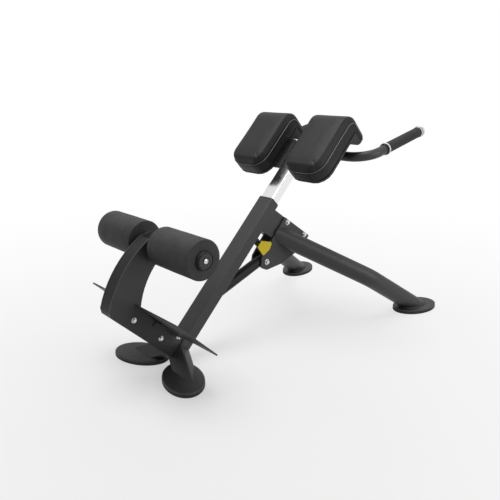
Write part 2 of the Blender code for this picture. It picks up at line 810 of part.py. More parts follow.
def make_arm_covers(lean, look, inside):
    """Bent sheets between the side plates: one along the front and bottom, one along the back."""
    front = [(ARM_BOTTOM + 0.0008, 0.268), (ARM_BOTTOM + 0.0008, ARM_FRONT_CORNER[1])]
    front += [(s, v - 0.0008) for s, v in arm_front_edge(9)]
    mesh = prism_across(thick_strip(front[::-1], 0.003), -inside, inside)
    add_part("arm_front_cover", mesh, look["frame"], lean, front[4][:1] + (0,) + front[4][1:])
    rear = [(s, v + 0.0008) for s, v in arm_rear_edge(7)]
    mesh = prism_across(thick_strip(rear[::-1], 0.003), -inside, inside)
    add_part("arm_rear_cover", mesh, look["frame"], lean, rear[4][:1] + (0,) + rear[4][1:])


def make_arm_fasteners(lean, look):
    for name, (s, v) in zip(("front", "rear"), ARM_BOLTS):
        mesh = through_bolt((s, 0, v), (0, 1, 0), 0.016, ARM_BOLT_RADIUS, ARM_WIDTH / 2 + CLEARANCE)
        add_part(f"arm_bolt_{name}", mesh, look["steel"], lean, (s, 0, v))


def make_foot_plate(lean, look):
    """A plate square to the upright, notched round the arm and bolted to the arm's angles."""
    notch = ARM_WIDTH / 2 + 0.001
    notch_back = on_arc(ARM_REAR_ARC, FOOT_PLATE_BOTTOM)[1] - 0.0015
    top = FOOT_PLATE_BOTTOM + FOOT_PLATE_THICKNESS
    corners = [
        (FOOT_PLATE_HALF, FOOT_PLATE_REAR),
        (FOOT_PLATE_HALF, FOOT_PLATE_FRONT),
        (notch, FOOT_PLATE_FRONT),
        (notch, notch_back),
        (-notch, notch_back),
        (-notch, FOOT_PLATE_FRONT),
        (-FOOT_PLATE_HALF, FOOT_PLATE_FRONT),
        (-FOOT_PLATE_HALF, FOOT_PLATE_REAR),
    ]
    outline = rounded(corners, (0.008, 0.008, 0.002, 0, 0, 0.002, 0.008, 0.008), 2)
    middle = (FOOT_PLATE_REAR + FOOT_PLATE_FRONT) / 2
    mesh = prism_up(outline, FOOT_PLATE_BOTTOM, top)
    plate = add_part("foot_plate", mesh, look["frame"], lean, (top, 0, middle))
    bores = []
    grip = FOOT_PLATE_THICKNESS + 0.004 + 4 * CLEARANCE
    v, y = FOOT_PLATE_BOLT
    for side, sign in SIDES:
        around = FOOT_PLATE_BOLT_RADIUS + CLEARANCE
        bores.append(bar((top, sign * y, v), (1, 0, 0), around, -0.02, 0.01, 12))
        seat = (top + CLEARANCE, sign * y, v)
        mesh = dome_bolt(seat, (1, 0, 0), FOOT_PLATE_BOLT_RADIUS, grip)
        add_part(f"foot_plate_bolt_{side}", mesh, look["steel"], lean, seat)
    cut(plate, joined(bores), lean)


def make_rollers(lean, look):
    centre = (ROLLER_AT[0], 0, ROLLER_AT[1])
    end = ROLLER_OUTER - 0.0058
    thread, depth = 0.0053, 0.030
    profile = [(0, depth - end), (thread, depth - end), (thread, -end), (AXLE_RADIUS, -end)]
    profile += [(radius, -along) for radius, along in profile[::-1]]
    add_part("roller_axle", turned(profile, centre, (0, 1, 0)), look["steel"], lean, centre)
    bore = AXLE_RADIUS + 0.0005
    core = 0.0165
    recess, recess_floor = ROLLER_CAP_RADIUS + 0.0005, ROLLER_OUTER - 0.0065
    for side, sign in SIDES:
        axis = (0, sign, 0)
        spin = add_frame(f"roller_spin_{side}", lean, centre)
        foam_profile = [
            (core, ROLLER_INNER),
            (ROLLER_RADIUS - 0.004, ROLLER_INNER),
            (ROLLER_RADIUS - 0.001, ROLLER_INNER + 0.001),
            (ROLLER_RADIUS, ROLLER_INNER + 0.004),
            (ROLLER_RADIUS, ROLLER_OUTER - 0.004),
            (ROLLER_RADIUS - 0.001, ROLLER_OUTER - 0.001),
            (ROLLER_RADIUS - 0.004, ROLLER_OUTER),
            (recess, ROLLER_OUTER),
            (recess, recess_floor),
            (core, recess_floor),
        ]
        foam = turned(foam_profile, (0, 0, 0), axis, True, 28)
        add_part(f"foam_roller_{side}", foam, look["foam"], spin)
        inner_end = ARM_WIDTH / 2 + CLEARANCE
        tube = pipe((0, 0, 0), axis, bore, core - CLEARANCE, inner_end, ROLLER_OUTER - 0.0068)
        add_part(f"roller_core_{side}", tube, look["plastic"], spin)
        cap_profile = [
            (0.0052, end + CLEARANCE),
            (ROLLER_CAP_RADIUS - 0.0005, end + CLEARANCE),
            (ROLLER_CAP_RADIUS, end + 0.0012),
            (ROLLER_CAP_RADIUS, ROLLER_CAP_FACE - 0.001),
            (ROLLER_CAP_RADIUS - 0.001, ROLLER_CAP_FACE),
            (0.0278, ROLLER_CAP_FACE),
            (0.0278, ROLLER_CAP_FACE - 0.003),
            (0.0252, ROLLER_CAP_FACE - 0.003),
            (0.0252, ROLLER_CAP_FACE),
            (0.0052, ROLLER_CAP_FACE),
        ]
        cap = turned(cap_profile, centre, axis, True, 20)
        add_part(f"roller_end_cap_{side}", cap, look["plastic"], lean, centre)
        seat = ROLLER_CAP_FACE + CLEARANCE
        shank = 0.0050
        bolt_profile = [
            (0, seat + 0.0022),
            (0.0030, seat + 0.0022),
            (0.0034, seat + 0.0042),
            (0.0060, seat + 0.0034),
            (0.0082, seat + 0.0008),
            (0.0082, seat),
            (shank, seat),
            (shank, seat - 0.038),
            (0, seat - 0.038),
        ]
        bolt = turned(bolt_profile, centre, axis, False, 16)
        add_part(f"roller_bolt_{side}", bolt, look["steel"], lean, centre)


# Sliding post


def make_post(lean, slide, look):
    middle = -UPRIGHT_DEPTH / 2
    mesh = box_tube(POST_WIDTH / 2, POST_DEPTH / 2, 0.0042, POST_WALL, middle, POST_BOTTOM, POST_TOP)
    post = add_part("chrome_post", mesh, look["chrome"], slide)
    back = middle - POST_DEPTH / 2
    holes = []
    for step in range(-HOLES_BELOW, HOLES_ABOVE + 1):
        height = PLUNGER_HEIGHT + step * HOLE_PITCH
        holes.append(bar((height, 0, back), (0, 0, 1), HOLE_RADIUS, -0.003, 0.008, 12))
    cut(post, joined(holes), slide)
    shoe_side = UPRIGHT_WIDTH / 2 - UPRIGHT_WALL - 0.0004
    shoe_front = UPRIGHT_DEPTH / 2 - UPRIGHT_WALL - 0.0004
    plug_side = POST_WIDTH / 2 - POST_WALL - CLEARANCE
    plug_front = POST_DEPTH / 2 - POST_WALL - CLEARANCE

    def loop(height, side, front, corner):
        return [(height, y, middle + v) for y, v in rounded_rectangle(side, front, corner)]

    shoe = [
        loop(POST_BOTTOM - 0.022, shoe_side - 0.002, shoe_front - 0.002, 0.002),
        loop(POST_BOTTOM - 0.020, shoe_side, shoe_front, 0.0024),
        loop(POST_BOTTOM - CLEARANCE, shoe_side, shoe_front, 0.0024),
        loop(POST_BOTTOM - CLEARANCE, plug_side, plug_front, 0.001),
        loop(POST_BOTTOM + 0.020, plug_side, plug_front, 0.001),
    ]
    add_part("post_bottom_slider", skin(shoe), look["plastic"], slide, (POST_BOTTOM, 0, middle))
    cap = [
        loop(POST_TOP - 0.014, plug_side, plug_front, 0.001),
        loop(POST_TOP + CLEARANCE, plug_side, plug_front, 0.001),
        loop(POST_TOP + CLEARANCE, POST_WIDTH / 2, POST_DEPTH / 2, 0.0042),
        loop(POST_TOP + 0.003, POST_WIDTH / 2 - 0.0015, POST_DEPTH / 2 - 0.0015, 0.0027),
    ]
    add_part("post_top_cap", skin(cap), look["plastic"], slide, (POST_TOP, 0, middle))


def make_pad_brackets(slide, look):
    """Angle plates welded to the sides of the post, which carry the pad boards."""
    low_s, high_s = 0.897, 1.040
    inner = POST_WIDTH / 2 + CLEARANCE
    thickness = 0.006
    back = -UPRIGHT_DEPTH / 2 - POST_DEPTH / 2
    for side, sign in SIDES:
        corners = [
            (inner, back),
            (inner + thickness, back),
            (inner + thickness, -CLEARANCE - thickness),
            (0.200, -CLEARANCE - thickness),
            (0.200, -CLEARANCE),
            (inner, -CLEARANCE),
        ]
        outline = [(sign * y, v) for y, v in corners]
        mesh = prism_up(outline, low_s, high_s)
        bracket = add_part(f"pad_bracket_{side}", mesh, look["frame"], slide, (low_s, sign * inner, 0))
        slope = [
            (low_s - 0.05, -0.0075),
            (low_s + 0.004, -0.0075),
            (low_s + 0.075, back - 0.001),
            (low_s - 0.05, back - 0.001),
        ]
        cut(bracket, prism_across(slope, *sorted((sign * 0.02, sign * 0.05))), slide)
        cut(bracket, joined([pad_bolt_bore(sign * y) for _, y in PAD_BOLT_SIDES]), slide)
        make_pad_bolts(side, sign, -thickness - 2 * CLEARANCE, slide, look)


def pad_bolt_bore(y):
    """A cutter for a bolt hole through a pad bracket and nearly through the board in front of it."""
    at = (PAD_BOLT_HEIGHT, y, 0)
    return bar(at, (0, 0, 1), PAD_BOLT_RADIUS + CLEARANCE, -0.02, BOARD_THICKNESS - 0.0015, 12)


def make_pad_bolts(side, sign, back, slide, look):
    """Hexagon bolts that hold a pad's board from behind, each with its washer."""
    end = BOARD_THICKNESS - 0.002
    wide, shank = circle_turns(0.009), circle_turns(PAD_BOLT_RADIUS)
    flat, crown = hexagon_turns(0.013), circle_turns(0.006)
    stations = [(crown, back - 0.0065), (flat, back - 0.0057), (flat, back - 0.0015)]
    stations += [(wide, back - 0.0015), (wide, back), (shank, back), (shank, end)]
    for name, y in PAD_BOLT_SIDES:
        at = (PAD_BOLT_HEIGHT, sign * y, 0)
        mesh = skin(loops_on_axis(stations, at, (0, 0, 1)))
        add_part(f"pad_bolt_{name}_{side}", mesh, look["steel"], slide, at)


def make_pads(slide, look):
    for side, sign in SIDES:
        middle = sign * (PAD_INNER + PAD_OUTER) / 2
        half = (PAD_OUTER - PAD_INNER) / 2
        corner = (PAD_BOTTOM, middle, 0)
        board = add_part(f"pad_board_{side}", board_mesh(middle, half), look["board"], slide, corner)
        cut(board, joined([pad_bolt_bore(sign * y) for _, y in PAD_BOLT_SIDES]), slide)
        add_part(f"hip_pad_{side}", pad_mesh(middle, half), look["upholstery"], slide, corner)


def board_mesh(middle, half):
    """The board behind a pad: round at its lower corners, its top turned back as a wedge."""
    inset = 0.001
    round_half = half - PAD_CORNER
    turns = [math.pi / 2 * step / 4 for step in range(5)]
    rows = [(round_half + (PAD_CORNER - inset) * math.cos(turn), math.sin(turn)) for turn in turns]
    loops = []
    for y, drop in [(-y, drop) for y, drop in rows] + rows[::-1]:
        low = PAD_BOTTOM + PAD_CORNER - (PAD_CORNER - inset) * drop
        profile = [
            (low, CLEARANCE),
            (low, BOARD_THICKNESS),
            (FLAP_UNDER, BOARD_THICKNESS),
            (FLAP_UNDER, BOARD_END),
            (1.0749, BOARD_END),
            (1.0440, CLEARANCE),
        ]
        loops.append([(s, middle + y, v) for s, v in profile])
    return skin(loops)


def pad_stations():
    """Sections from the pad's bottom to its lip: outer and inner point, lost half width, seam's share."""
    back = BOARD_THICKNESS + CLEARANCE
    seam = (PAD_SEAM - back) / (PAD_FRONT - back)
    edge = PAD_FRONT - PAD_SEAM
    straight_top = PAD_TOP - PAD_BEND
    stations = []
    for rise in (0, 0.12, 0.35, 0.65, 1.0):
        height = PAD_BOTTOM + PAD_CORNER * rise
        lost = PAD_CORNER - math.sqrt(PAD_CORNER**2 - (PAD_CORNER * (1 - rise)) ** 2)
        front_rise = min((height - PAD_BOTTOM) / edge, 1)
        front = PAD_SEAM + edge * math.sqrt(1 - (1 - front_rise) ** 2)
        stations.append(((height, front), (height, back), lost, seam))
    for height in (0.93, 0.98, 1.03, straight_top):
        stations.append(((height, PAD_FRONT), (height, back), 0, seam))
    centre = (straight_top, PAD_FRONT - PAD_BEND)
    inner_turn = [(0.5, 0, seam), (1, 0, 0.60), (1, 0.33, 0.55), (1, 0.67, 0.50), (1, 1, 0.46)]
    under, behind = FLAP_UNDER + CLEARANCE, BOARD_END - CLEARANCE
    rise = under - straight_top
    for (climb, retreat, share), outer in zip(inner_turn, arc(centre, PAD_BEND, math.pi / 2, 0, 5)[1:]):
        stations.append((outer, (straight_top + rise * climb, back - 0.004 * retreat), 0, share))
    stations.append(((PAD_TOP, 0.012), (under, -0.004), 0, 0.46))
    stations.append(((PAD_TOP, -0.020), (under, -0.022), 0, 0.46))
    stations.append(((PAD_TOP, FLAP_END + 0.014), (under, behind), 0, 0.45))
    stations.append(((PAD_TOP - 0.004, FLAP_END + 0.004), (under - 0.002, behind), 0, 0.42))
    stations.append(((PAD_TOP - 0.014, FLAP_END), (under - 0.004, behind), 0, 0.40))
    stations.append(((LIP_BOTTOM + 0.004, FLAP_END), (LIP_BOTTOM + 0.002, behind), 0, 0.40))
    stations.append(((LIP_BOTTOM, FLAP_END + 0.003), (LIP_BOTTOM, behind - 0.001), 0, 0.40))
    return stations


def pad_section(half, seam):
    """Half-width and depth share round a section: drawn in at the seam, edges rolled, face crowned."""
    one_side = [
        (half - 0.002, 0.0),
        (half, 0.06),
        (half - 0.0015, seam * 0.55),
        (half - 0.0008, seam - 0.02),
        (half - 0.0022, seam),
        (half - 0.0008, seam + 0.04),
        (half - PAD_EDGE * 0.25, seam + (1 - seam) * 0.62),
        (half - PAD_EDGE * 0.9, 0.955),
        (half * 0.45, 0.995),
    ]
    return [(-y, depth) for y, depth in one_side] + [(0, 1.0)] + one_side[::-1]


def pad_mesh(middle, half):
    loops = []
    for outer, inner, lost, seam in pad_stations():
        loop = []
        for y, depth in pad_section(half, seam):
            narrowed = y * (half - lost) / half
            s = inner[0] + (outer[0] - inner[0]) * depth
            v = inner[1] + (outer[1] - inner[1]) * depth
            loop.append((s, middle + narrowed, v))
        loops.append(loop)
    return skin(loops)


# Handlebar


def handle_path():
    """The handlebar's middle line in the upright's directions, from the near end to the far end."""
    x, z = HANDLE_BACK
    reach = Vector((math.cos(HANDLE_RISE), 0, math.sin(HANDLE_RISE))) * (GRIP_END - 0.002)
    corners = [(x + reach.x, -HANDLE_SPREAD, z + reach.z), (x, -HANDLE_SPREAD, z)]
    corners += [(px, -py, pz) for px, py, pz in corners[::-1]]
    return [in_lean(Vector(point)) for point in rounded_path(corners, [HANDLE_BEND] * 2, 5)]


def in_lean(point):
    """A point of the bench in the upright's directions."""
    return Vector(
        (
            point.x * math.cos(LEAN) + point.z * math.sin(LEAN),
            point.y,
            point.z * math.cos(LEAN) - point.x * math.sin(LEAN),
        )
    )


def make_handlebar(slide, look):
    """The bar with the block that holds it to the post, and on each end a ring, a grip and a cap."""
    middle = in_lean(Vector((HANDLE_BACK[0], 0, HANDLE_BACK[1])))
    tube = swept_tube(handle_path(), HANDLE_TUBE, HANDLE_WALL)
    handlebar = add_part("handlebar", tube, look["frame"], slide, tuple(middle))
    post_back = -UPRIGHT_DEPTH / 2 - POST_DEPTH / 2 - CLEARANCE
    weld_radius = HANDLE_TUBE - HANDLE_WALL / 2
    seat = arc((middle.x, middle.z), weld_radius, math.radians(160), math.radians(20), 8)
    half = 0.020
    outline = [(middle.x - half, seat[0][1]), *seat, (middle.x + half, seat[-1][1])]
    outline += [(middle.x + half, post_back), (middle.x - half, post_back)]
    fuse(handlebar, prism_across(outline, -0.026, 0.026), slide)
    rise = in_lean(Vector((math.cos(HANDLE_RISE), 0, math.sin(HANDLE_RISE))))
    for side, sign in SIDES:
        start = in_lean(Vector((HANDLE_BACK[0], sign * HANDLE_SPREAD, HANDLE_BACK[1])))

        def sleeve(low, high, inner, radius, edge):
            profile = [(inner, low), (radius - edge, low), (radius, low + edge)]
            profile += [(radius, high - edge), (radius - edge, high), (inner, high)]
            return turned(profile, start, rise, True, TUBE_SEGMENTS)

        collar_end = GRIP_START + 0.0047
        fuse(handlebar, sleeve(GRIP_START, collar_end, HANDLE_TUBE - 0.001, 0.0228, 0.001), slide)
        around = HANDLE_TUBE + CLEARANCE
        ring = sleeve(GRIP_START + 0.005, GRIP_START + 0.0127, around, RING_RADIUS, 0.0015)
        add_part(f"grip_ring_{side}", ring, look["aluminium"], slide, tuple(start))
        grip = sleeve(GRIP_START + 0.013, GRIP_END - 0.010, around, GRIP_RADIUS, 0.001)
        add_part(f"hand_grip_{side}", grip, look["rubber"], slide, tuple(start))
        plug = HANDLE_TUBE - HANDLE_WALL - CLEARANCE
        cap_profile = [
            (0, GRIP_END - 0.024),
            (plug, GRIP_END - 0.024),
            (plug, GRIP_END - 0.0017),
            (around, GRIP_END - 0.0017),
            (around, GRIP_END - 0.0097),
            (RING_RADIUS, GRIP_END - 0.0092),
            (RING_RADIUS, GRIP_END - 0.0065),
            (0.0210, GRIP_END - 0.0050),
            (0.0210, GRIP_END - 0.0005),
            (0.0236, GRIP_END + 0.0015),
            (0.0236, GRIP_END + 0.0065),
            (0.0205, GRIP_END + 0.0100),
            (0, GRIP_END + 0.0105),
        ]
        cap = turned(cap_profile, start, rise, False, TUBE_SEGMENTS)
        add_part(f"handle_end_cap_{side}", cap, look["aluminium"], slide, tuple(start))


# Lock


def make_plunger(lean, pull, look):
    """A sprung pin through the back of the upright into a hole of the post, with the tab that pulls it."""
    axis = (0, 0, -1)
    at = (PLUNGER_HEIGHT, 0, 0)
    collar = UPRIGHT_DEPTH + SPRING_FRONT + CLEARANCE
    end = UPRIGHT_DEPTH + BARREL_LENGTH + 0.012
    pin = [
        (0, 0.0385),
        (0.0045, 0.0385),
        (PLUNGER_RADIUS, 0.0400),
        (PLUNGER_RADIUS, collar),
        (SPRING_BORE - 0.0005, collar),
        (SPRING_BORE - 0.0005, collar + 0.003),
        (PLUNGER_RADIUS, collar + 0.003),
        (PLUNGER_RADIUS, end),
        (0, end),
    ]
    plunger = add_part("lock_plunger", turned(pin, (0, 0, 0), axis, False, 16), look["steel"], pull)
    arm_reach = TAB_INNER + 0.003
    arm_low, arm_high = 0.001 - end, 0.009 - end
    fuse(plunger, block((-0.0055, -arm_reach, arm_low), (0.0055, 0.004, arm_high)), pull)
    corners = rounded(TAB_CORNERS, (0.004, 0.006, 0.006, 0.006, 0.006, 0.004), 2)
    outline = [(s - PLUNGER_HEIGHT, v) for s, v in corners]
    tab = add_part("release_tab", prism_across(outline, -TAB_OUTER, -TAB_INNER), look["yellow"], pull)
    bevel(tab, 0.001)
    gap = CLEARANCE
    socket = block((-0.0055 - gap, -arm_reach - gap, arm_low - gap), (0.0055 + gap, 0, arm_high + gap))
    cut(tab, socket, pull)
    coil_start = collar + 0.003 + CLEARANCE
    coil_end = UPRIGHT_DEPTH + SPRING_REAR - CLEARANCE
    add_part("plunger_spring", spring(at, coil_start, coil_end, 0.0074, 0.0007, 5), look["steel"], lean, at)


def spring(centre, low, high, radius, wire, turns):
    """A coil between two distances behind the upright's front face, its ends one wire inside them."""
    count = turns * 8
    path = []
    for step in range(count + 1):
        angle = 2 * math.pi * turns * step / count
        depth = low + 1.5 * wire + (high - low - 3 * wire) * step / count
        path.append(Vector(centre) + Vector((radius * math.cos(angle), radius * math.sin(angle), -depth)))
    return skin(swept_rings(path, wire, segments=5))


def main():
    clear_scene()
    look = make_materials()
    bench = add_frame("bench", None, (FRONT_FACE_AT_FLOOR, 0, 0))
    lean = add_frame("upright_directions", bench, (0, 0, 0), (0, -LEAN, 0))
    slide = add_frame("post_slide", lean)
    pull = add_frame("plunger_slide", lean, (PLUNGER_HEIGHT, 0, 0))
    make_upright(lean, look)
    make_sleeve(lean, look)
    make_front_legs(bench, lean, look)
    make_rear_legs(bench, look)
    make_rubber_feet(bench, look)
    make_brace(lean, look)
    make_gusset(lean, look)
    make_brackets(lean, look)
    make_bracket_fasteners(lean, look)
    make_arm(lean, look)
    make_arm_fasteners(lean, look)
    make_foot_plate(lean, look)
    make_rollers(lean, look)
    make_post(lean, slide, look)
    make_pad_brackets(slide, look)
    make_pads(slide, look)
    make_handlebar(slide, look)
    make_plunger(lean, pull, look)


main()
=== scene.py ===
import json
import math
from contextlib import contextmanager

import bmesh
import bpy
from mathutils import Matrix, Vector
from mathutils.bvhtree import BVHTree
from mathutils.kdtree import KDTree


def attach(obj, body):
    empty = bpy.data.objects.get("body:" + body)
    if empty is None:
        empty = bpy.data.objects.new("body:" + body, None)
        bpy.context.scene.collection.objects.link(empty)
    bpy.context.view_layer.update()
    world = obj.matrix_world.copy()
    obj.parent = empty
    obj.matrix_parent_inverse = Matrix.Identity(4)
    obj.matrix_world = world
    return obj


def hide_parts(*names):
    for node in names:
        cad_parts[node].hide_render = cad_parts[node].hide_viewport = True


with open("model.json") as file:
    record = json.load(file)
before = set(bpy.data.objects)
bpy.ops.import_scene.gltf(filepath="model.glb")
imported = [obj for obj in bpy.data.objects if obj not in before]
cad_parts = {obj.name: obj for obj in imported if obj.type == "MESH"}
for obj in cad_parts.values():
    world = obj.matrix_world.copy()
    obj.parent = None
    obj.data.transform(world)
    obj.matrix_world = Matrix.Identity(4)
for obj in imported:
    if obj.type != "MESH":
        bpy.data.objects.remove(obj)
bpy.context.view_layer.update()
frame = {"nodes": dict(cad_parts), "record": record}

# The upright's own directions: height up it, side, and distance in front of its front face
LEAN = math.radians(45)
FRONT_FACE_AT_FLOOR = -0.5292
BENCH = Matrix.Translation((FRONT_FACE_AT_FLOOR, 0, 0))
LEANING = BENCH @ Matrix.Rotation(-LEAN, 4, "Y")
SIDES = (("near", -1), ("far", 1))
GAP = 0.0003

# Upright and post
UPRIGHT_WIDTH, UPRIGHT_DEPTH = 0.070, 0.050
UPRIGHT_BOTTOM, UPRIGHT_TOP = 0.115, 0.752
POST_WIDTH, POST_DEPTH = 0.060, 0.040
POST_BOTTOM, POST_TOP = 0.440, 1.075
PIN_HEIGHT = 0.600
TUBE_WALL = 0.003

# Pads
PAD_INNER, PAD_OUTER = 0.051, 0.236
PAD_BOTTOM, PAD_TOP = 0.848, 1.130
PAD_FRONT, PAD_SEAM, PAD_BACK = 0.086, 0.058, 0.0103
PAD_CORNER, PAD_BEND = 0.058, 0.052
FLAP_UNDER, FLAP_END = 1.0918, -0.058
LIP_BOTTOM, LIP_BACK = 1.081, -0.0383
PAD_INSET, PAD_EVENING = 0.0012, 24

# Rollers
ROLLER_AT = (0.3352, 0.3125)
ROLLER_RADIUS, ROLLER_INNER, ROLLER_OUTER = 0.064, 0.051, 0.2525
ROLLER_CAP_RADIUS, ROLLER_CAP_FACE = 0.0305, 0.2625

# Legs and brace
REAR_LEG_TOP = (0.639, 0.0504, 0.343)
REAR_LEG_BEND = (0.874, 0.270, 0.186)
REAR_LEG_FOOT = (1.125, 0.338, 0.0165)
REAR_LEG_RADIUS, REAR_LEG_BEND_RADIUS = 0.037, 0.16
BRACKET_FACE = 0.0285
BRACE_FOOT, BRACE_LENGTH, BRACE_RADIUS = 0.3475, 0.2672, 0.021
BRACE_RISE = math.radians(18.5)
BRACKET_BOLTS = {"front": (0.7425, -0.1460), "rear": (0.7670, -0.2710), "low": (0.5620, -0.1630)}
ARM_BOLTS = {"front": (0.0939, 0.2290), "rear": (0.0937, 0.0905)}
ARM_HALF = 0.028
FOOT_LENGTH, FOOT_WIDTH = 0.214, 0.140
FEET = {"front": ((0.0194, 0.123), math.radians(113.9)), "rear": ((1.1327, 0.3413), math.radians(15))}
FLOOR_PLATE_LOW, FLOOR_PLATE_TOP = 0.0105, 0.0165

# Handlebar
HANDLE_TUBE, HANDLE_BACK, HANDLE_SPREAD = 0.0185, (0.795, 0.6815), 0.269
HANDLE_RISE, HANDLE_BEND = math.radians(11.8), 0.084
GRIP_START, GRIP_END, GRIP_RADIUS = 0.1195, 0.378, 0.0208
RING_RADIUS = 0.024


# Node groups that several finishes share


def feed(tree, socket, value):
    """Links a socket to a node's output, or gives it a number, a vector or a colour."""
    if isinstance(value, bpy.types.NodeSocket):
        tree.links.new(value, socket)
    elif socket.type == "RGBA":
        socket.default_value = (*value, 1.0)
    else:
        socket.default_value = value


def fill(tree, node, inputs):
    for label, value in inputs.items():
        feed(tree, node.inputs[label], value)


def assign(thing, **settings):
    for label, value in settings.items():
        setattr(thing, label, value)
    return thing


def add_node(tree, kind, inputs, **settings):
    """A shader node with its settings, and its inputs by name or number."""
    node = assign(tree.nodes.new("ShaderNode" + kind), **settings)
    fill(tree, node, inputs)
    return node


def math_node(tree, operation, first, second, clamp=False):
    return add_node(tree, "Math", {0: first, 1: second}, operation=operation, use_clamp=clamp).outputs[0]


def times(tree, first, second, clamp=False):
    return math_node(tree, "MULTIPLY", first, second, clamp)


def noise_node(tree, vector, scale, detail, roughness=0.55):
    inputs = {"Vector": vector, "Scale": scale, "Detail": detail, "Roughness": roughness}
    return add_node(tree, "TexNoise", inputs).outputs["Fac"]


def range_node(tree, value, low, high, to_low=0.0, to_high=1.0):
    inputs = {"Value": value, "From Min": low, "From Max": high, "To Min": to_low, "To Max": to_high}
    return add_node(tree, "MapRange", inputs).outputs["Result"]


def mix_colour(tree, factor, first, second, blend="MIX"):
    node = add_node(tree, "Mix", {}, data_type="RGBA", blend_type=blend)
    feed(tree, node.inputs["Factor"], factor)
    for label, value in (("A", first), ("B", second)):
        feed(tree, next(s for s in node.inputs if s.name == label and s.type == "RGBA"), value)
    return next(s for s in node.outputs if s.type == "RGBA")


def new_group(name, numbers, outputs):
    """A node group with a Vector input, number inputs and number outputs, and its inner sockets."""
    group = bpy.data.node_groups.new(name, "ShaderNodeTree")
    group.interface.new_socket("Vector", in_out="INPUT", socket_type="NodeSocketVector")
    for label, value in numbers.items():
        socket = group.interface.new_socket(label, in_out="INPUT", socket_type="NodeSocketFloat")
        socket.default_value = value
    for label in outputs:
        group.interface.new_socket(label, in_out="OUTPUT", socket_type="NodeSocketFloat")
    return group, group.nodes.new("NodeGroupInput").outputs, group.nodes.new("NodeGroupOutput").inputs


def make_tone_group():
    """A broad, cloudy unevenness of tone about 1."""
    group, given, result = new_group("uneven_tone", {"Scale": 6.0, "Amount": 0.1}, ["Tone"])
    contrast = 4.0
    cloud = noise_node(group, given["Vector"], given["Scale"], 4.0)
    swing = times(group, math_node(group, "SUBTRACT", cloud, 0.5), given["Amount"])
    swing = times(group, swing, contrast)
    group.links.new(math_node(group, "ADD", swing, 1.0), result["Tone"])
    return group


def make_grain_group():
    """Two sizes of fine grain, for bump and for roughness."""
    group, given, result = new_group("fine_grain", {"Scale": 900.0}, ["Height", "Mask"])
    coarser, fine_share, coarse_share = 0.31, 0.6, 0.4
    fine = noise_node(group, given["Vector"], given["Scale"], 2.0)
    coarse = noise_node(group, given["Vector"], times(group, given["Scale"], coarser), 2.0)
    fine = times(group, fine, fine_share)
    both = math_node(group, "ADD", fine, times(group, coarse, coarse_share))
    group.links.new(both, result["Height"])
    group.links.new(range_node(group, both, 0.35, 0.65), result["Mask"])
    return group


def make_edge_group():
    """Where edges are lightened, as rubbed wear and as a painted edge highlight: a narrow band along them,
    broken up by noise.
    """
    group, given, result = new_group("rubbed_and_highlit_edges", {"Amount": 0.5}, ["Mask"])
    band = 0.0016
    rounded = add_node(group, "Bevel", {"Radius": band}, samples=4).outputs["Normal"]
    normal = group.nodes.new("ShaderNodeNewGeometry").outputs["Normal"]
    agreement = add_node(group, "VectorMath", {0: rounded, 1: normal}, operation="DOT_PRODUCT")
    near_edge = range_node(group, agreement.outputs["Value"], 0.995, 0.90)
    patches = range_node(group, noise_node(group, given["Vector"], 45.0, 5.0), 0.40, 0.66)
    rubbed = times(group, near_edge, patches)
    group.links.new(times(group, rubbed, given["Amount"], True), result["Mask"])
    return group


def make_dust_group():
    """Dust that settles on what faces up."""
    group, given, result = new_group("settled_dust", {"Amount": 0.1}, ["Mask"])
    normal = group.nodes.new("ShaderNodeNewGeometry").outputs["Normal"]
    split = add_node(group, "SeparateXYZ", {0: normal})
    upward = range_node(group, split.outputs["Z"], 0.2, 1.0)
    specks = range_node(group, noise_node(group, given["Vector"], 30.0, 8.0, 0.7), 0.35, 0.75)
    fall = times(group, upward, specks)
    group.links.new(times(group, fall, given["Amount"], True), result["Mask"])
    return group


TONE, GRAIN, EDGES, DUST = make_tone_group(), make_grain_group(), make_edge_group(), make_dust_group()
WARM_DUST, PALE_DUST, BRIGHT_DUST = (0.32, 0.31, 0.29), (0.3, 0.3, 0.29), (0.5, 0.5, 0.49)


def place_group(tree, group, vector, **numbers):
    return add_node(tree, "Group", {"Vector": vector, **numbers}, node_tree=group)


def toned(tree, place, colour, scale, amount):
    """A colour made cloudy."""
    tone = place_group(tree, TONE, place, Scale=scale, Amount=amount).outputs["Tone"]
    return mix_colour(tree, 1.0, colour, tone, "MULTIPLY")


def overlaid(tree, place, below, group, amount, colour):
    """What is below, with a colour over it where a group's mask says."""
    mask = place_group(tree, group, place, Amount=amount).outputs["Mask"]
    return mix_colour(tree, mask, below, colour)


def two_toned(tree, place, mask, tones, scale, amount, dust=0.0):
    """Two colours by a mask, made cloudy, with dust."""
    surface = toned(tree, place, mix_colour(tree, mask, *tones), scale, amount)
    return overlaid(tree, place, surface, DUST, dust, PALE_DUST) if dust else surface


def new_material(name, turn=(0, 0, 0), stretch=(1, 1, 1)):
    """A material with its tree, its shader and its Object coordinates, turned and stretched."""
    material = bpy.data.materials.new(name)
    material.use_nodes = True
    tree = material.node_tree
    centred = tree.nodes.new("ShaderNodeTexCoord").outputs["Object"]
    mapping = add_node(tree, "Mapping", {"Vector": centred, "Rotation": turn, "Scale": stretch})
    return material, tree, tree.nodes["Principled BSDF"], mapping.outputs["Vector"]


def add_bump(tree, shader, height, strength, distance, below=None):
    bump = add_node(tree, "Bump", {"Height": height, "Strength": strength, "Distance": distance})
    if below is not None:
        feed(tree, bump.inputs["Normal"], below)
    feed(tree, shader.inputs["Normal"], bump.outputs["Normal"])
    return bump.outputs["Normal"]


def grey(value):
    return (value, value, value)


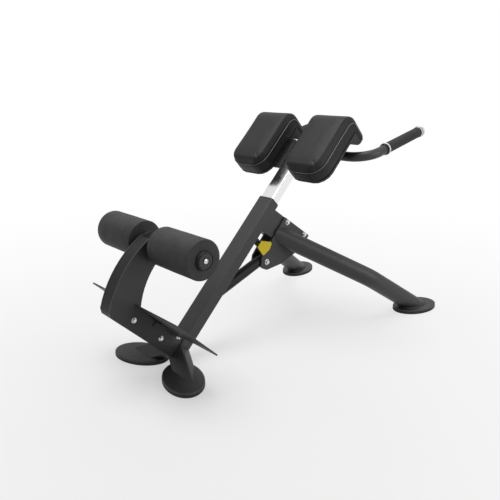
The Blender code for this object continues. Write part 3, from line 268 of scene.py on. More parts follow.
def coated(
    name, colour, roughness, metallic=0.0, grain=900.0, bump=0.08, tone=0.08, worn_highlit_edge=None,
    worn_highlit_share=0.4, dust=0.02, shine=0.5
):
    """Paint, plastic, rubber or bare metal: its own colour with cloudy tone, grain, edges lightened as rubbed
    wear and as a painted highlight, and dust.
    """
    material, tree, shader, place = new_material(name)
    swing, depth = 0.06, 0.0006
    surface = toned(tree, place, colour, 7.0, tone)
    # Lighter edges: rubbed wear and a painted edge highlight
    if worn_highlit_edge is not None:
        surface = overlaid(tree, place, surface, EDGES, worn_highlit_share, worn_highlit_edge)
    surface = overlaid(tree, place, surface, DUST, dust, WARM_DUST)
    grained = place_group(tree, GRAIN, place, Scale=grain).outputs
    rough = range_node(tree, grained["Mask"], 0.0, 1.0, roughness - swing, roughness + swing)
    fill(tree, shader, {"Base Color": surface, "Roughness": rough})
    fill(tree, shader, {"Metallic": metallic, "Specular IOR Level": shine})
    add_bump(tree, shader, grained["Height"], bump, depth)
    return material


def make_leather():
    """Upholstery vinyl: pebbled grain between fine creases painted darker as shade, a faint sheen, and paler
    along edges, as rubbed wear and a painted edge highlight.
    """
    material, tree, shader, place = new_material("pad_vinyl")
    cells = {"Vector": place, "Scale": 420.0, "Randomness": 0.9}
    pebbles = add_node(tree, "TexVoronoi", cells, feature="DISTANCE_TO_EDGE")
    crease = range_node(tree, pebbles.outputs["Distance"], 0.0, 0.18)
    folds = noise_node(tree, place, 16.0, 6.0, 0.6)
    # The creases between the pebbles are darker: painted shade in the creases
    surface = two_toned(tree, place, crease, ((0.0050, 0.0050, 0.0051), (0.0095, 0.0095, 0.0096)), 9.0, 0.12)
    # Paler along edges: rubbed wear and a painted edge highlight
    surface = overlaid(tree, place, surface, EDGES, 0.15, grey(0.06))
    surface = overlaid(tree, place, surface, DUST, 0.05, PALE_DUST)
    fill(tree, shader, {"Base Color": surface, "Roughness": range_node(tree, crease, 0.0, 1.0, 0.62, 0.46)})
    fill(tree, shader, {"Specular IOR Level": 0.32, "Sheen Weight": 0.01, "Sheen Roughness": 0.4})
    soft = add_bump(tree, shader, folds, 0.10, 0.004)
    add_bump(tree, shader, crease, 0.22, 0.0004, soft)
    return material


def make_foam():
    """Closed-cell foam with a moulded skin: fine pores painted darker as shade, and shallow unevenness."""
    material, tree, shader, place = new_material("roller_foam_skin")
    pores = add_node(tree, "TexVoronoi", {"Vector": place, "Scale": 700.0})
    pore = range_node(tree, pores.outputs["Distance"], 0.0, 0.5)
    lumps = noise_node(tree, place, 28.0, 4.0)
    # The pores are darker: painted shade in the pits
    surface = two_toned(tree, place, pore, (grey(0.013), grey(0.022)), 12.0, 0.10, 0.08)
    fill(tree, shader, {"Base Color": surface, "Roughness": range_node(tree, lumps, 0.3, 0.7, 0.62, 0.78)})
    fill(tree, shader, {"Specular IOR Level": 0.5, "Sheen Weight": 0.03})
    soft = add_bump(tree, shader, lumps, 0.08, 0.003)
    add_bump(tree, shader, pore, 0.18, 0.0003, soft)
    return material


def make_brushed(name, colour, roughness, stretch, bump=0.05):
    """Metal drawn along the upright: fine lines, cloudy tone and a little dust."""
    material, tree, shader, place = new_material(name, (0, LEAN, 0), stretch)
    lines = noise_node(tree, place, 60.0, 3.0)
    surface = overlaid(tree, place, toned(tree, place, colour, 5.0, 0.05), DUST, 0.04, BRIGHT_DUST)
    rough = range_node(tree, lines, 0.3, 0.7, roughness * 0.7, roughness * 1.3)
    fill(tree, shader, {"Base Color": surface, "Roughness": rough, "Metallic": 1.0})
    add_bump(tree, shader, lines, bump, 0.0003)
    return material


def make_grip_rubber():
    """Soft grip rubber with a fine diamond texture pressed into it, its grooves painted darker as shade."""
    material, tree, shader, place = new_material("grip_rubber", (0, HANDLE_RISE, 0))
    diamonds = {"Vector": place, "Scale": 380.0, "Randomness": 0.15}
    cells = add_node(tree, "TexVoronoi", diamonds, distance="MANHATTAN")
    stud = range_node(tree, cells.outputs["Distance"], 0.1, 0.6, 1.0, 0.0)
    # The grooves between the diamonds are darker: painted shade in the grooves
    surface = two_toned(tree, place, stud, (grey(0.010), grey(0.021)), 20.0, 0.12, 0.06)
    fill(tree, shader, {"Base Color": surface, "Roughness": range_node(tree, stud, 0.0, 1.0, 0.75, 0.6)})
    fill(tree, shader, {"Specular IOR Level": 0.5})
    add_bump(tree, shader, stud, 0.25, 0.0004)
    return material


def make_board():
    """Plywood with a black stained face and the lines of its fibres."""
    material, tree, shader, place = new_material("pad_board_stain", (0, LEAN, 0), (8.0, 1.0, 1.0))
    fibre = noise_node(tree, place, 70.0, 5.0)
    surface = two_toned(tree, place, fibre, (grey(0.014), (0.030, 0.029, 0.028)), 6.0, 0.12)
    fill(tree, shader, {"Base Color": surface, "Roughness": range_node(tree, fibre, 0.3, 0.7, 0.55, 0.75)})
    add_bump(tree, shader, fibre, 0.15, 0.0005)
    return material


COAT = {"grain": 1100.0, "bump": 0.10, "tone": 0.05, "worn_highlit_edge": grey(0.10)}
LOOK = {
    "frame_paint": coated("charcoal_powder_coat", (0.029, 0.029, 0.0295), 0.45, **COAT),
    "chrome": make_brushed("polished_chrome", (0.82, 0.82, 0.83), 0.15, (0.3, 1.0, 1.0), 0.01),
    "zinc_steel": coated(
        "zinc_plate", grey(0.66), 0.20, metallic=1.0, grain=600.0, bump=0.05, tone=0.10, worn_highlit_edge=grey(0.8),
        worn_highlit_share=0.5, dust=0.03
    ),
    "aluminium": make_brushed("turned_aluminium", (0.66, 0.66, 0.67), 0.50, (1.0, 1.0, 1.0)),
    "upholstery": make_leather(),
    "roller_foam": make_foam(),
    "black_rubber": coated("black_sole_rubber", grey(0.012), 0.72, grain=500.0, bump=0.15, tone=0.12),
    "black_plastic": coated("black_moulding", (0.014, 0.014, 0.0145), 0.42, grain=700.0, worn_highlit_edge=grey(0.06)),
    "yellow_plastic": coated(
        "yellow_moulding", (0.76, 0.58, 0.024), 0.38, grain=600.0, bump=0.05, worn_highlit_edge=(0.80, 0.72, 0.25),
        worn_highlit_share=0.3, shine=0.3
    ),
    "laminated_board": make_board(),
}
# Painted shade: a darker coat for the brace and the arm's front cover, which stand in shade
SHADE_PAINTED_COAT = coated("painted_shade_coat", (0.010, 0.010, 0.0102), 0.5, shine=0.28, **COAT)
PAINTED_SHADE_PIECES = {"arm_front_cover": SHADE_PAINTED_COAT}
GRIP = make_grip_rubber()
CAP = coated("roller_cap_moulding", grey(0.014), 0.5, grain=700.0, tone=0.06, worn_highlit_edge=grey(0.04))
WELT = coated("grey_welt", grey(0.20), 0.5, grain=1400.0, bump=0.2)


# Modelling helpers


def clear_selection():
    if bpy.context.object and bpy.context.object.mode != "OBJECT":
        bpy.ops.object.mode_set(mode="OBJECT")
    bpy.ops.object.select_all(action="DESELECT")


def pick(piece):
    """Makes this the one selected and active object."""
    clear_selection()
    piece.select_set(True)
    bpy.context.view_layer.objects.active = piece


@contextmanager
def editing(piece, selected="SELECT"):
    """Edit mode on a piece, with all of it selected or none."""
    pick(piece)
    bpy.ops.object.mode_set(mode="EDIT")
    bpy.ops.mesh.select_all(action=selected)
    yield
    bpy.ops.object.mode_set(mode="OBJECT")


def applied(piece):
    pick(piece)
    bpy.ops.object.transform_apply(location=True, rotation=True, scale=True)
    return piece


def settle(piece, place):
    """Puts a piece that was modelled about the origin in its place, which goes into its mesh."""
    pick(piece)
    piece.matrix_world = place @ piece.matrix_world
    return applied(piece)


def modified(piece, kind, **settings):
    """Applies a modifier to a piece."""
    modifier = assign(piece.modifiers.new(kind.lower(), kind), **settings)
    pick(piece)
    bpy.ops.object.modifier_apply(modifier=modifier.name)
    return piece


def cut(piece, cutter, operation="DIFFERENCE"):
    """Cuts a piece with another, which is used up."""
    bpy.context.view_layer.update()
    modified(piece, "BOOLEAN", operation=operation, object=cutter)
    bpy.data.objects.remove(cutter)
    return piece


def shade(piece, angle=40):
    pick(piece)
    bpy.ops.object.shade_smooth_by_angle(angle=math.radians(angle))
    return piece


def crisp(piece, angle=60):
    """Shades smooth, with normals that keep wide faces flat up to their rounded edges."""
    return modified(shade(piece, angle), "WEIGHTED_NORMAL", keep_sharp=True, weight=100)


def soften(piece, width, segments=2, angle=40):
    """Rounds the sharp edges of a piece and shades it smooth."""
    limit = math.radians(angle)
    modified(piece, "BEVEL", width=width, segments=segments, limit_method="ANGLE", angle_limit=limit)
    return crisp(piece)


def outward(piece):
    """Merges doubles and turns every face outwards."""
    with editing(piece):
        bpy.ops.mesh.remove_doubles(threshold=0.00001)
        bpy.ops.mesh.normals_make_consistent(inside=False)
    return piece


def finish(piece, name, nodes=(), slot="frame_paint", body="frame", material=None):
    """Names a piece, gives it its finish and its body, and lets it stand for the CAD nodes it replaces."""
    piece.name = name
    piece.data.name = name
    piece.data.materials.clear()
    piece.data.materials.append(material or LOOK[slot])
    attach(piece, body)
    if nodes:
        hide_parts(*nodes)
    return piece


def profile(points, radius=0.0, height=0.0):
    """A turned piece's rings, from points in mm that are counted from a radius and a height in metres."""
    return [(radius + out / 1000, height + up / 1000) for out, up in points]


def turned(rings, sides=48, ring=False):
    """A piece turned about Z, from a circle extruded and resized through rings of (radius, height)."""
    clear_selection()
    radius, height = rings[0]
    bpy.ops.mesh.primitive_circle_add(vertices=sides, radius=radius, location=(0, 0, height))
    piece = bpy.context.object
    with editing(piece):
        for (last_radius, last_height), (radius, height) in zip(rings, rings[1:]):
            climb = (0, 0, height - last_height)
            bpy.ops.mesh.extrude_region_move(TRANSFORM_OT_translate={"value": climb})
            share = radius / last_radius
            bpy.ops.transform.resize(value=(share, share, 1), center_override=(0, 0, height))
        bpy.ops.mesh.select_all(action="DESELECT")
        bpy.ops.mesh.select_non_manifold()
        if ring:
            bpy.ops.mesh.bridge_edge_loops()
        else:
            bpy.ops.mesh.fill_holes(sides=0)
    return outward(piece)


def lathed(rings, place, sides=48, ring=True, angle=40):
    """A turned piece, shaded and in its place."""
    return settle(shade(turned(rings, sides, ring), angle), place)


def cylinder(radius, depth, height=0.0, sides=32):
    """A cylinder about Z whose middle is at a height."""
    clear_selection()
    bpy.ops.mesh.primitive_cylinder_add(vertices=sides, radius=radius, depth=depth, location=(0, 0, height))
    return bpy.context.object


def axis_place(place, centre, axis):
    """The matrix that lays a piece modelled about Z on an axis through a centre."""
    turn = Vector((0, 0, 1)).rotation_difference(Vector(axis)).to_matrix().to_4x4()
    return place @ Matrix.Translation(centre) @ turn


def rounded_path(corners, radii, steps):
    """A path through corners whose inner corners are arcs."""
    points = [Vector(corners[0])]
    for last, corner, after, radius in zip(corners, corners[1:], corners[2:], radii):
        here = Vector(corner)
        to_last = (Vector(last) - here).normalized()
        to_next = (Vector(after) - here).normalized()
        half = to_last.angle(to_next) / 2
        middle = here + (to_last + to_next).normalized() * radius / math.sin(half)
        first = here + to_last * radius / math.tan(half) - middle
        final = here + to_next * radius / math.tan(half) - middle
        for step in range(steps + 1):
            turn = Matrix.Rotation(first.angle(final) * step / steps, 3, first.cross(final))
            points.append(middle + turn @ first)
    points.append(Vector(corners[-1]))
    return points


def linked(name, data):
    """A new object in the scene, picked."""
    piece = bpy.data.objects.new(name, data)
    bpy.context.scene.collection.objects.link(piece)
    pick(piece)
    return piece


def tube(points, radius, smoothness=12, closed=False):
    """A round tube along a path, its ends filled."""
    clear_selection()
    curve = assign(bpy.data.curves.new("tube", "CURVE"), dimensions="3D", use_fill_caps=not closed)
    assign(curve, bevel_depth=radius, bevel_resolution=smoothness)
    spline = curve.splines.new("POLY")
    spline.points.add(len(points) - 1)
    for spot, point in zip(spline.points, points):
        spot.co = (*point, 1)
    spline.use_cyclic_u = closed
    linked("tube", curve)
    bpy.ops.object.convert(target="MESH")
    return shade(outward(bpy.context.object))


def trim(piece, point, normal):
    """Cuts off what lies on the side that the normal points to, and closes the cut."""
    with editing(piece):
        bpy.ops.mesh.bisect(plane_co=point, plane_no=normal, use_fill=True, clear_outer=True)
    return piece


def box(low, high):
    clear_selection()
    middle = [(a + b) / 2 for a, b in zip(low, high)]
    bpy.ops.mesh.primitive_cube_add(size=1, location=middle)
    piece = bpy.context.object
    piece.scale = [b - a for a, b in zip(low, high)]
    return applied(piece)


def box_tube(low, high, radius, wall):
    """A rectangular tube along X with rounded edges, open at both ends."""
    piece = box(low, high)
    with editing(piece, "DESELECT"):
        bpy.ops.mesh.select_mode(type="EDGE")
        mesh = bmesh.from_edit_mesh(piece.data)
        for edge in mesh.edges:
            direction = edge.verts[1].co - edge.verts[0].co
            edge.select_set(abs(direction.normalized().x) > 0.99)
        bmesh.update_edit_mesh(piece.data)
        bpy.ops.mesh.bevel(offset=radius, segments=5)
        bpy.ops.mesh.select_mode(type="VERT")
    with editing(piece, "DESELECT"):
        mesh = bmesh.from_edit_mesh(piece.data)
        for face in mesh.faces:
            face.select_set(abs(face.normal.x) > 0.99)
        bmesh.update_edit_mesh(piece.data)
        bpy.ops.mesh.delete(type="FACE")
    return modified(piece, "SOLIDIFY", thickness=wall, offset=-1)


def bore(piece, cutters):
    """Drills a piece with cylinders of (centre, axis, radius, half length)."""
    for centre, axis, radius, half in cutters:
        cut(piece, settle(cylinder(radius, 2 * half), axis_place(Matrix(), centre, axis)))
    return piece


def merged(pieces):
    """Joins pieces of one finish into one object."""
    clear_selection()
    for piece in pieces:
        piece.select_set(True)
    bpy.context.view_layer.objects.active = pieces[0]
    bpy.ops.object.join()
    return bpy.context.object


def refined(node, slot, body, edge):
    """A copy of a CAD node whose loose triangles are merged into clean faces with softened edges."""
    piece = linked(node, frame["nodes"][node].data.copy())
    bpy.ops.mesh.customdata_custom_splitnormals_clear()
    with editing(piece):
        bpy.ops.mesh.remove_doubles(threshold=0.00002)
        bpy.ops.mesh.dissolve_limited(angle_limit=math.radians(1.5))
    soften(piece, edge)
    # The arm's front cover takes the darker coat, which paints the shade on it
    return finish(piece, node + "_surface", [node], slot, body, PAINTED_SHADE_PIECES.get(node))


# Cushions

CORNER_STEPS, FACE_STEPS, BEND_STEPS, FLAP_STEPS, ROLL_STEPS, END_STEPS = 12, 15, 12, 8, 6, 4
BOTTOM_CHAMFER, FLAP_ROLL, FLAP_HOLLOW, LIP_ROUND = 0.017, 0.014, 0.004, 0.004
FLAP_SEAM, ROLL_SEAM, END_SEAM = 0.46, 0.42, 0.40
VOXEL, BOARD_GRIP = 0.0045, 0.006
CLOTH_FRAMES, CLOTH_PRESSURE, CLOTH_MASS = 20, 4.0, 0.3
SEAM_GROOVE, DART_GROOVE = (0.0022, 0.0040), (0.0020, 0.0030)


def between(first, second, share):
    return tuple(a + (b - a) * share for a, b in zip(first, second))


def pad_run(first, last, count, seam):
    """Straight sections from one outer and inner point to the next."""
    shares = [step / count for step in range(1, count + 1)]
    return [(between(first[0], last[0], s), between(first[1], last[1], s), 0, seam) for s in shares]


def pad_stations():
    """Sections from the pad's bottom to its lip: outer and inner point, lost half width, seam's share."""
    straight_top = PAD_TOP - PAD_BEND
    straight_seam = (PAD_SEAM - PAD_BACK) / (PAD_FRONT - PAD_BACK)
    stations = []
    for step in range(CORNER_STEPS + 1):
        rise = (step / CORNER_STEPS) ** 1.6
        height = PAD_BOTTOM + PAD_CORNER * rise
        lost = PAD_CORNER - math.sqrt(PAD_CORNER**2 - (PAD_CORNER * (1 - rise)) ** 2)
        chamfer = 1 - (1 - min((height - PAD_BOTTOM) / BOTTOM_CHAMFER, 1)) ** 1.3
        front = PAD_SEAM + (PAD_FRONT - PAD_SEAM) * chamfer
        stations.append(((height, front), (height, PAD_BACK), lost, straight_seam))
    first, last = (((s, PAD_FRONT), (s, PAD_BACK)) for s in (PAD_BOTTOM + PAD_CORNER, straight_top))
    stations += pad_run(first, last, FACE_STEPS, straight_seam)
    bend_middle = PAD_FRONT - PAD_BEND
    for step in range(1, BEND_STEPS + 1):
        turn = math.pi / 2 * step / BEND_STEPS
        outer = (straight_top + PAD_BEND * math.sin(turn), bend_middle + PAD_BEND * math.cos(turn))
        climb = min(turn / (math.pi / 4), 1)
        retreat = max(turn / (math.pi / 4) - 1, 0)
        inner = (straight_top + (FLAP_UNDER - straight_top) * climb, PAD_BACK - FLAP_HOLLOW * retreat)
        seam = straight_seam + (FLAP_SEAM - straight_seam) * step / BEND_STEPS
        stations.append((outer, inner, 0, seam))
    flat_end = FLAP_END + FLAP_ROLL
    first = ((PAD_TOP, bend_middle), (FLAP_UNDER, PAD_BACK - FLAP_HOLLOW))
    stations += pad_run(first, ((PAD_TOP, flat_end), (FLAP_UNDER, LIP_BACK)), FLAP_STEPS, FLAP_SEAM)
    for step in range(1, ROLL_STEPS + 1):
        turn = math.pi / 2 * step / ROLL_STEPS
        outer = (PAD_TOP - FLAP_ROLL * (1 - math.cos(turn)), flat_end - FLAP_ROLL * math.sin(turn))
        stations.append((outer, (FLAP_UNDER - LIP_ROUND * step / ROLL_STEPS, LIP_BACK), 0, ROLL_SEAM))
    first = ((PAD_TOP - FLAP_ROLL, FLAP_END), (FLAP_UNDER - LIP_ROUND, LIP_BACK))
    last = ((LIP_BOTTOM + LIP_ROUND, FLAP_END), (LIP_BOTTOM, LIP_BACK))
    stations += pad_run(first, last, END_STEPS, END_SEAM)
    lip = ((LIP_BOTTOM, FLAP_END + LIP_ROUND), (LIP_BOTTOM, LIP_BACK - 0.001))
    return stations + [(*lip, 0, END_SEAM)]


def pad_section(half, seam):
    """Half width and depth share round a section: drawn in at the seam, then a chamfer up to the face."""
    rest = 1 - seam
    side = [(0.002, 0.0), (0.0005, 0.06), (0.0, seam * 0.45), (0.0004, seam * 0.80)]
    side += [(0.0008, seam - 0.03), (0.0018, seam), (0.0014, seam + 0.04), (0.0050, seam + rest * 0.33)]
    side += [(0.0095, seam + rest * 0.68), (0.0135, seam + rest * 0.92), (0.019, 0.985)]
    side = [(half - inside, depth) for inside, depth in side] + [(half * 0.6, 0.996), (half * 0.3, 1.0)]
    return [(-y, depth) for y, depth in side] + [(0, 1.0)] + side[::-1]


def pad_shape(middle, half, inset):
    """The pad's closed form in the upright's directions, made smaller all round by an inset."""
    mesh = bmesh.new()
    rows = []
    for outer, inner, lost, seam in pad_stations():
        row = []
        for y, depth in pad_section(half, seam):
            narrowed = y * (half - lost - inset) / half
            share = inset / PAD_FRONT + depth * (1 - 1.6 * inset / PAD_FRONT)
            height, ahead = between(inner, outer, share)
            row.append(mesh.verts.new((height, middle + narrowed, ahead)))
        rows.append(row)
    for first, second in zip(rows, rows[1:]):
        for index in range(-1, len(first) - 1):
            mesh.faces.new((first[index], first[index + 1], second[index + 1], second[index]))
    mesh.faces.new(rows[0])
    mesh.faces.new(rows[-1])
    bmesh.ops.recalc_face_normals(mesh, faces=mesh.faces)
    data = bpy.data.meshes.new("hip_pad")
    mesh.to_mesh(data)
    mesh.free()
    return linked("hip_pad", data)


def blown_up(piece):
    """Where the pad's points go when its cover is cloth under pressure, held at the board."""
    held = piece.vertex_groups.new(name="held")
    backing = []
    for vert in piece.data.vertices:
        height, _, ahead = vert.co
        if ahead < PAD_BACK + BOARD_GRIP and height < FLAP_UNDER + BOARD_GRIP:
            backing.append(vert.index)
    held.add(backing, 1.0, "REPLACE")
    cloth = piece.modifiers.new("padding", "CLOTH")
    assign(cloth.settings, use_pressure=True, uniform_pressure_force=CLOTH_PRESSURE)
    assign(cloth.settings, quality=5, mass=CLOTH_MASS, vertex_group_mass="held")
    cloth.settings.effector_weights.gravity = 0.0
    scene = bpy.context.scene
    for number in range(1, CLOTH_FRAMES + 1):
        scene.frame_set(number)
    graph = bpy.context.evaluated_depsgraph_get()
    blown = [vert.co.copy() for vert in piece.evaluated_get(graph).data.vertices]
    piece.modifiers.remove(cloth)
    scene.frame_set(1)
    piece.vertex_groups.remove(held)
    return blown


def swell(piece, limit):
    """Blows the remeshed pad up, caps how far a point moves and evens the moves out among neighbours."""
    mesh = piece.data
    start = [vert.co.copy() for vert in mesh.vertices]
    steps = [after - before for before, after in zip(start, blown_up(piece))]
    steps = [step * min(1, limit / max(step.length, 1e-9)) for step in steps]
    for _ in range(PAD_EVENING):
        total = [step.copy() for step in steps]
        count = [1] * len(steps)
        for edge in mesh.edges:
            first, second = edge.vertices
            total[first] += steps[second]
            total[second] += steps[first]
            count[first] += 1
            count[second] += 1
        steps = [whole / number for whole, number in zip(total, count)]
    for vert, before, step in zip(mesh.vertices, start, steps):
        vert.co = before + step


def seam_path(middle, half):
    """The welt's line, from the flap's end down one side, across the bottom and up the other side."""
    straight = pad_stations()[CORNER_STEPS + 1:]
    side = [between(inner, outer, seam) for outer, inner, _, seam in straight]
    points = [Vector((s, middle - half, v)) for s, v in side[::-1]]
    for step in range(1, 24):
        turn = math.pi * step / 24
        centre = middle + (half - PAD_CORNER) * (-1 if turn < math.pi / 2 else 1)
        y = centre - PAD_CORNER * math.cos(turn)
        points.append(Vector((PAD_BOTTOM + PAD_CORNER * (1 - math.sin(turn)), y, PAD_SEAM)))
    return points + [Vector((s, middle + half, v)) for s, v in side]


def denser(points, spacing):
    """The same line with points no further apart than the spacing."""
    line = [points[0]]
    for first, second in zip(points, points[1:]):
        count = max(1, math.ceil((second - first).length / spacing))
        line += [first.lerp(second, step / count) for step in range(1, count + 1)]
    return line


def press_lines(piece, lines, depth, width):
    """Presses grooves into a pad along lines."""
    points = [point for line in lines for point in line]
    tree = KDTree(len(points))
    for index, point in enumerate(points):
        tree.insert(point, index)
    tree.balance()
    mesh = piece.data
    normals = [vert.normal.copy() for vert in mesh.vertices]
    for vert, normal in zip(mesh.vertices, normals):
        distance = tree.find(vert.co)[2]
        if distance < 3 * width:
            vert.co -= normal * depth * math.exp(-((distance / width) ** 2))


def dart_lines(middle, half):
    """Short pleats from the lower corners of the face down to the welt."""
    lines = []
    for sign in (-1, 1):
        corner_y = middle + sign * (half - PAD_CORNER * 0.30)
        inner_y = middle + sign * (half - PAD_CORNER * 0.62)
        low = Vector((PAD_BOTTOM + 0.012, corner_y, PAD_SEAM + 0.004))
        high = Vector((PAD_BOTTOM + 0.040, inner_y, PAD_FRONT - 0.002))
        lines.append(denser([low, high], 0.002))
    return lines


def make_pad(side, sign):
    middle = sign * (PAD_INNER + PAD_OUTER) / 2
    half = (PAD_OUTER - PAD_INNER) / 2
    pad = pad_shape(middle, half, PAD_INSET)
    modified(pad, "REMESH", mode="VOXEL", voxel_size=VOXEL)
    swell(pad, PAD_INSET + 0.0012)
    modified(pad, "SUBSURF", levels=1, render_levels=1)
    points = [v.co for v in pad.data.vertices]
    surface = BVHTree.FromPolygons(points, [p.vertices for p in pad.data.polygons])
    seam = []
    for point in denser(seam_path(middle, half), 0.004):
        spot, normal, _, _ = surface.find_nearest(point)
        seam.append(spot + normal * 0.0002)
    darts = [[surface.find_nearest(point)[0] for point in line] for line in dart_lines(middle, half)]
    press_lines(pad, [seam], *SEAM_GROOVE)
    press_lines(pad, darts, *DART_GROOVE)
    pick(pad)
    bpy.ops.object.shade_smooth()
    settle(pad, LEANING)
    finish(pad, f"hip_pad_{side}_cushion", [f"hip_pad_{side}"], "upholstery", "post")
    welt = settle(tube(seam, 0.0014, 3), LEANING)
    finish(welt, f"hip_pad_{side}_welt", (), "upholstery", "post", WELT)


# Rollers

# Profiles are points of (radius, height) in mm, some counted from a radius and a height
FOAM_ROUND_END = ((0, 4.5), (-1, 1.4), (-2.5, 0.5), (-5, 0))
FOAM_BORE, CAP_RECESS, FOAM_SWELL = 0.0170, 0.0065, (0.0003, 0.150)
CAP_RIM = ((-0.5, 0), (0, 1), (0, 5.8))
CAP_FACE = (
    (28.6, -0.8), (28.4, 0), (28, 0), (27.7, -0.4), (27.7, -3.2), (24.9, -3.2), (24.9, -0.4), (24.6, 0),
    (12, 0), (11.2, -0.6), (6, -0.6),
)
BUTTON_BOLT = (
    (4.5, -30), (5, -29), (5, 0), (8.2, 0), (8.2, 0.8), (7.8, 1.8), (6.8, 2.8), (5.4, 3.5), (4, 4),
    (3.4, 4.1), (3.1, 2.2), (0.8, 2.1),
)


def make_roller(side, sign):
    place = axis_place(LEANING, (ROLLER_AT[0], 0, ROLLER_AT[1]), (0, sign, 0))
    recess, wide = ROLLER_CAP_RADIUS + 0.0005, ROLLER_RADIUS
    rings = [(FOAM_BORE, ROLLER_INNER + 0.0005)] + profile(FOAM_ROUND_END[::-1], wide, ROLLER_INNER)
    rings += [(wide, ROLLER_INNER + 0.060), (wide + FOAM_SWELL[0], FOAM_SWELL[1]), (wide, 0.205)]
    rings += profile([(out, -back) for out, back in FOAM_ROUND_END], wide, ROLLER_OUTER)
    rings += profile([(0.5, 0), (0, -0.5)], recess, ROLLER_OUTER)
    rings += [(recess, ROLLER_OUTER - CAP_RECESS), (FOAM_BORE, ROLLER_OUTER - CAP_RECESS)]
    foam = lathed(rings, place, 96, True, 30)
    finish(foam, f"roller_foam_{side}", [f"foam_roller_{side}"], "roller_foam", f"roller_{side}")
    low = ROLLER_OUTER - CAP_RECESS + 0.001
    rings = [(0.0060, low)] + profile(CAP_RIM, ROLLER_CAP_RADIUS, low)
    rings += profile(CAP_FACE, 0.0, ROLLER_CAP_FACE)
    cap = lathed(rings, place, 72, True, 35)
    finish(cap, f"roller_cap_{side}", [f"roller_end_cap_{side}"], "black_plastic", material=CAP)
    bolt = lathed(profile(BUTTON_BOLT, 0.0, ROLLER_CAP_FACE + GAP), place, 48, False, 35)
    finish(bolt, f"roller_end_bolt_{side}", [f"roller_bolt_{side}"], "zinc_steel")


# Fasteners

# Distance across flats, washer radius, shank radius
BRACKET_BOLT_SIZE = (0.0150, 0.0118, 0.005)
ARM_BOLT_SIZE = (0.0130, 0.0094, 0.0047)


def hexagon_head(flats, low, high):
    """A hexagon with its corners turned off on top."""
    corner, tall = flats / 2 / math.cos(math.pi / 6), high - low
    head = applied(cylinder(corner, tall, (low + high) / 2, 6))
    clear_selection()
    middle = high - tall * 0.75 + 0.00001
    bpy.ops.mesh.primitive_cone_add(
        vertices=48, radius1=corner * 1.22, radius2=flats * 0.44, depth=tall * 1.5, location=(0, 0, middle)
    )
    return cut(head, bpy.context.object, "INTERSECT")


def washer(inner, outer, low, high):
    edge = (high - low) * 0.3
    rings = [(inner, low), (outer - edge, low), (outer, low + edge), (outer, high - edge)]
    return turned(rings + [(outer - edge, high), (inner, high)], 40, True)


def threaded_end(radius, low, high):
    """The end of a bolt with its thread as ridges."""
    pitch = radius * 0.28
    rings = [(radius * 0.99, low)]
    height = low + pitch
    while height < high - pitch:
        rings += [(radius * 0.90, height), (radius, height + pitch / 2)]
        height += pitch
    rings.append((radius * 0.80, high))
    return turned(rings, 28)


def make_through_bolt(name, centre, size, reach):
    """A bolt across the bench: head and washer on the near side, washer, nut and thread on the far side."""
    flats, disc, radius = size
    under = reach + flats * 0.13
    top = under + flats * 0.40
    near = merged([washer(radius, disc, reach, under), hexagon_head(flats, under, top)])
    near = settle(near, Matrix.Rotation(math.pi, 4, "X"))
    pieces = [near, washer(radius, disc, reach, under), hexagon_head(flats, under, top)]
    pieces.append(threaded_end(radius, under + flats * 0.36, top + flats * 0.18))
    pieces.append(cylinder(radius * 0.99, 2 * under))
    bolt = shade(merged(pieces), 30)
    settle(bolt, axis_place(LEANING, (centre[0], 0, centre[1]), (0, 1, 0)))
    finish(bolt, name + "_detail", [name], "zinc_steel")


def make_fasteners():
    for label, centre in BRACKET_BOLTS.items():
        make_through_bolt(f"bracket_bolt_{label}", centre, BRACKET_BOLT_SIZE, BRACKET_FACE + GAP)
    for label, centre in ARM_BOLTS.items():
        make_through_bolt(f"arm_bolt_{label}", centre, ARM_BOLT_SIZE, ARM_HALF + GAP)


# Frame

PIN_BORE, POST_HOLE, HOLE_SPACING, HOLE_DEPTH = 0.0064, 0.0068, 0.025, 0.008
UPRIGHT_CORNER, POST_CORNER = 0.006, 0.0042
BARREL = (
    (6.4, 0.2), (13, 0.2), (13, 49), (12.2, 50), (6.8, 50), (6.4, 49.6), (6.4, 46), (8.8, 46),
    (8.8, 12), (6.4, 12),
)
BRACE_BUSH = ((5.6, -22.2), (11.5, -22.2), (11.5, 22.2), (5.6, 22.2))
BRACE_AXIS = Vector((math.sin(LEAN + BRACE_RISE), 0, -math.cos(LEAN + BRACE_RISE)))


def leaning_tube(ends, width, back, front, corner, heights, radius):
    """A rectangular tube up the upright's direction, with holes through its back."""
    low, high = (ends[0], -width / 2, back), (ends[1], width / 2, front)
    holes = [((height, 0, back), (0, 0, 1), radius, HOLE_DEPTH) for height in heights]
    return settle(crisp(bore(box_tube(low, high, corner, TUBE_WALL), holes), 35), LEANING)


def make_upright():
    ends = (UPRIGHT_BOTTOM, UPRIGHT_TOP)
    upright = leaning_tube(ends, UPRIGHT_WIDTH, -UPRIGHT_DEPTH, 0, UPRIGHT_CORNER, [PIN_HEIGHT], PIN_BORE)
    finish(upright, "upright_tube", ["main_upright"])
    place = axis_place(LEANING, (PIN_HEIGHT, 0, -UPRIGHT_DEPTH), (0, 0, -1))
    finish(lathed(profile(BARREL), place, 48, True, 35), "lock_barrel")


def make_chrome_post():
    ends = (POST_BOTTOM, POST_TOP)
    front, back = -UPRIGHT_DEPTH / 2 + POST_DEPTH / 2, -UPRIGHT_DEPTH / 2 - POST_DEPTH / 2
    heights = [PIN_HEIGHT + HOLE_SPACING * step for step in range(-3, 4)]
    post = leaning_tube(ends, POST_WIDTH, back, front, POST_CORNER, heights, POST_HOLE)
    finish(post, "post_tube", ["chrome_post"], "chrome", "post")


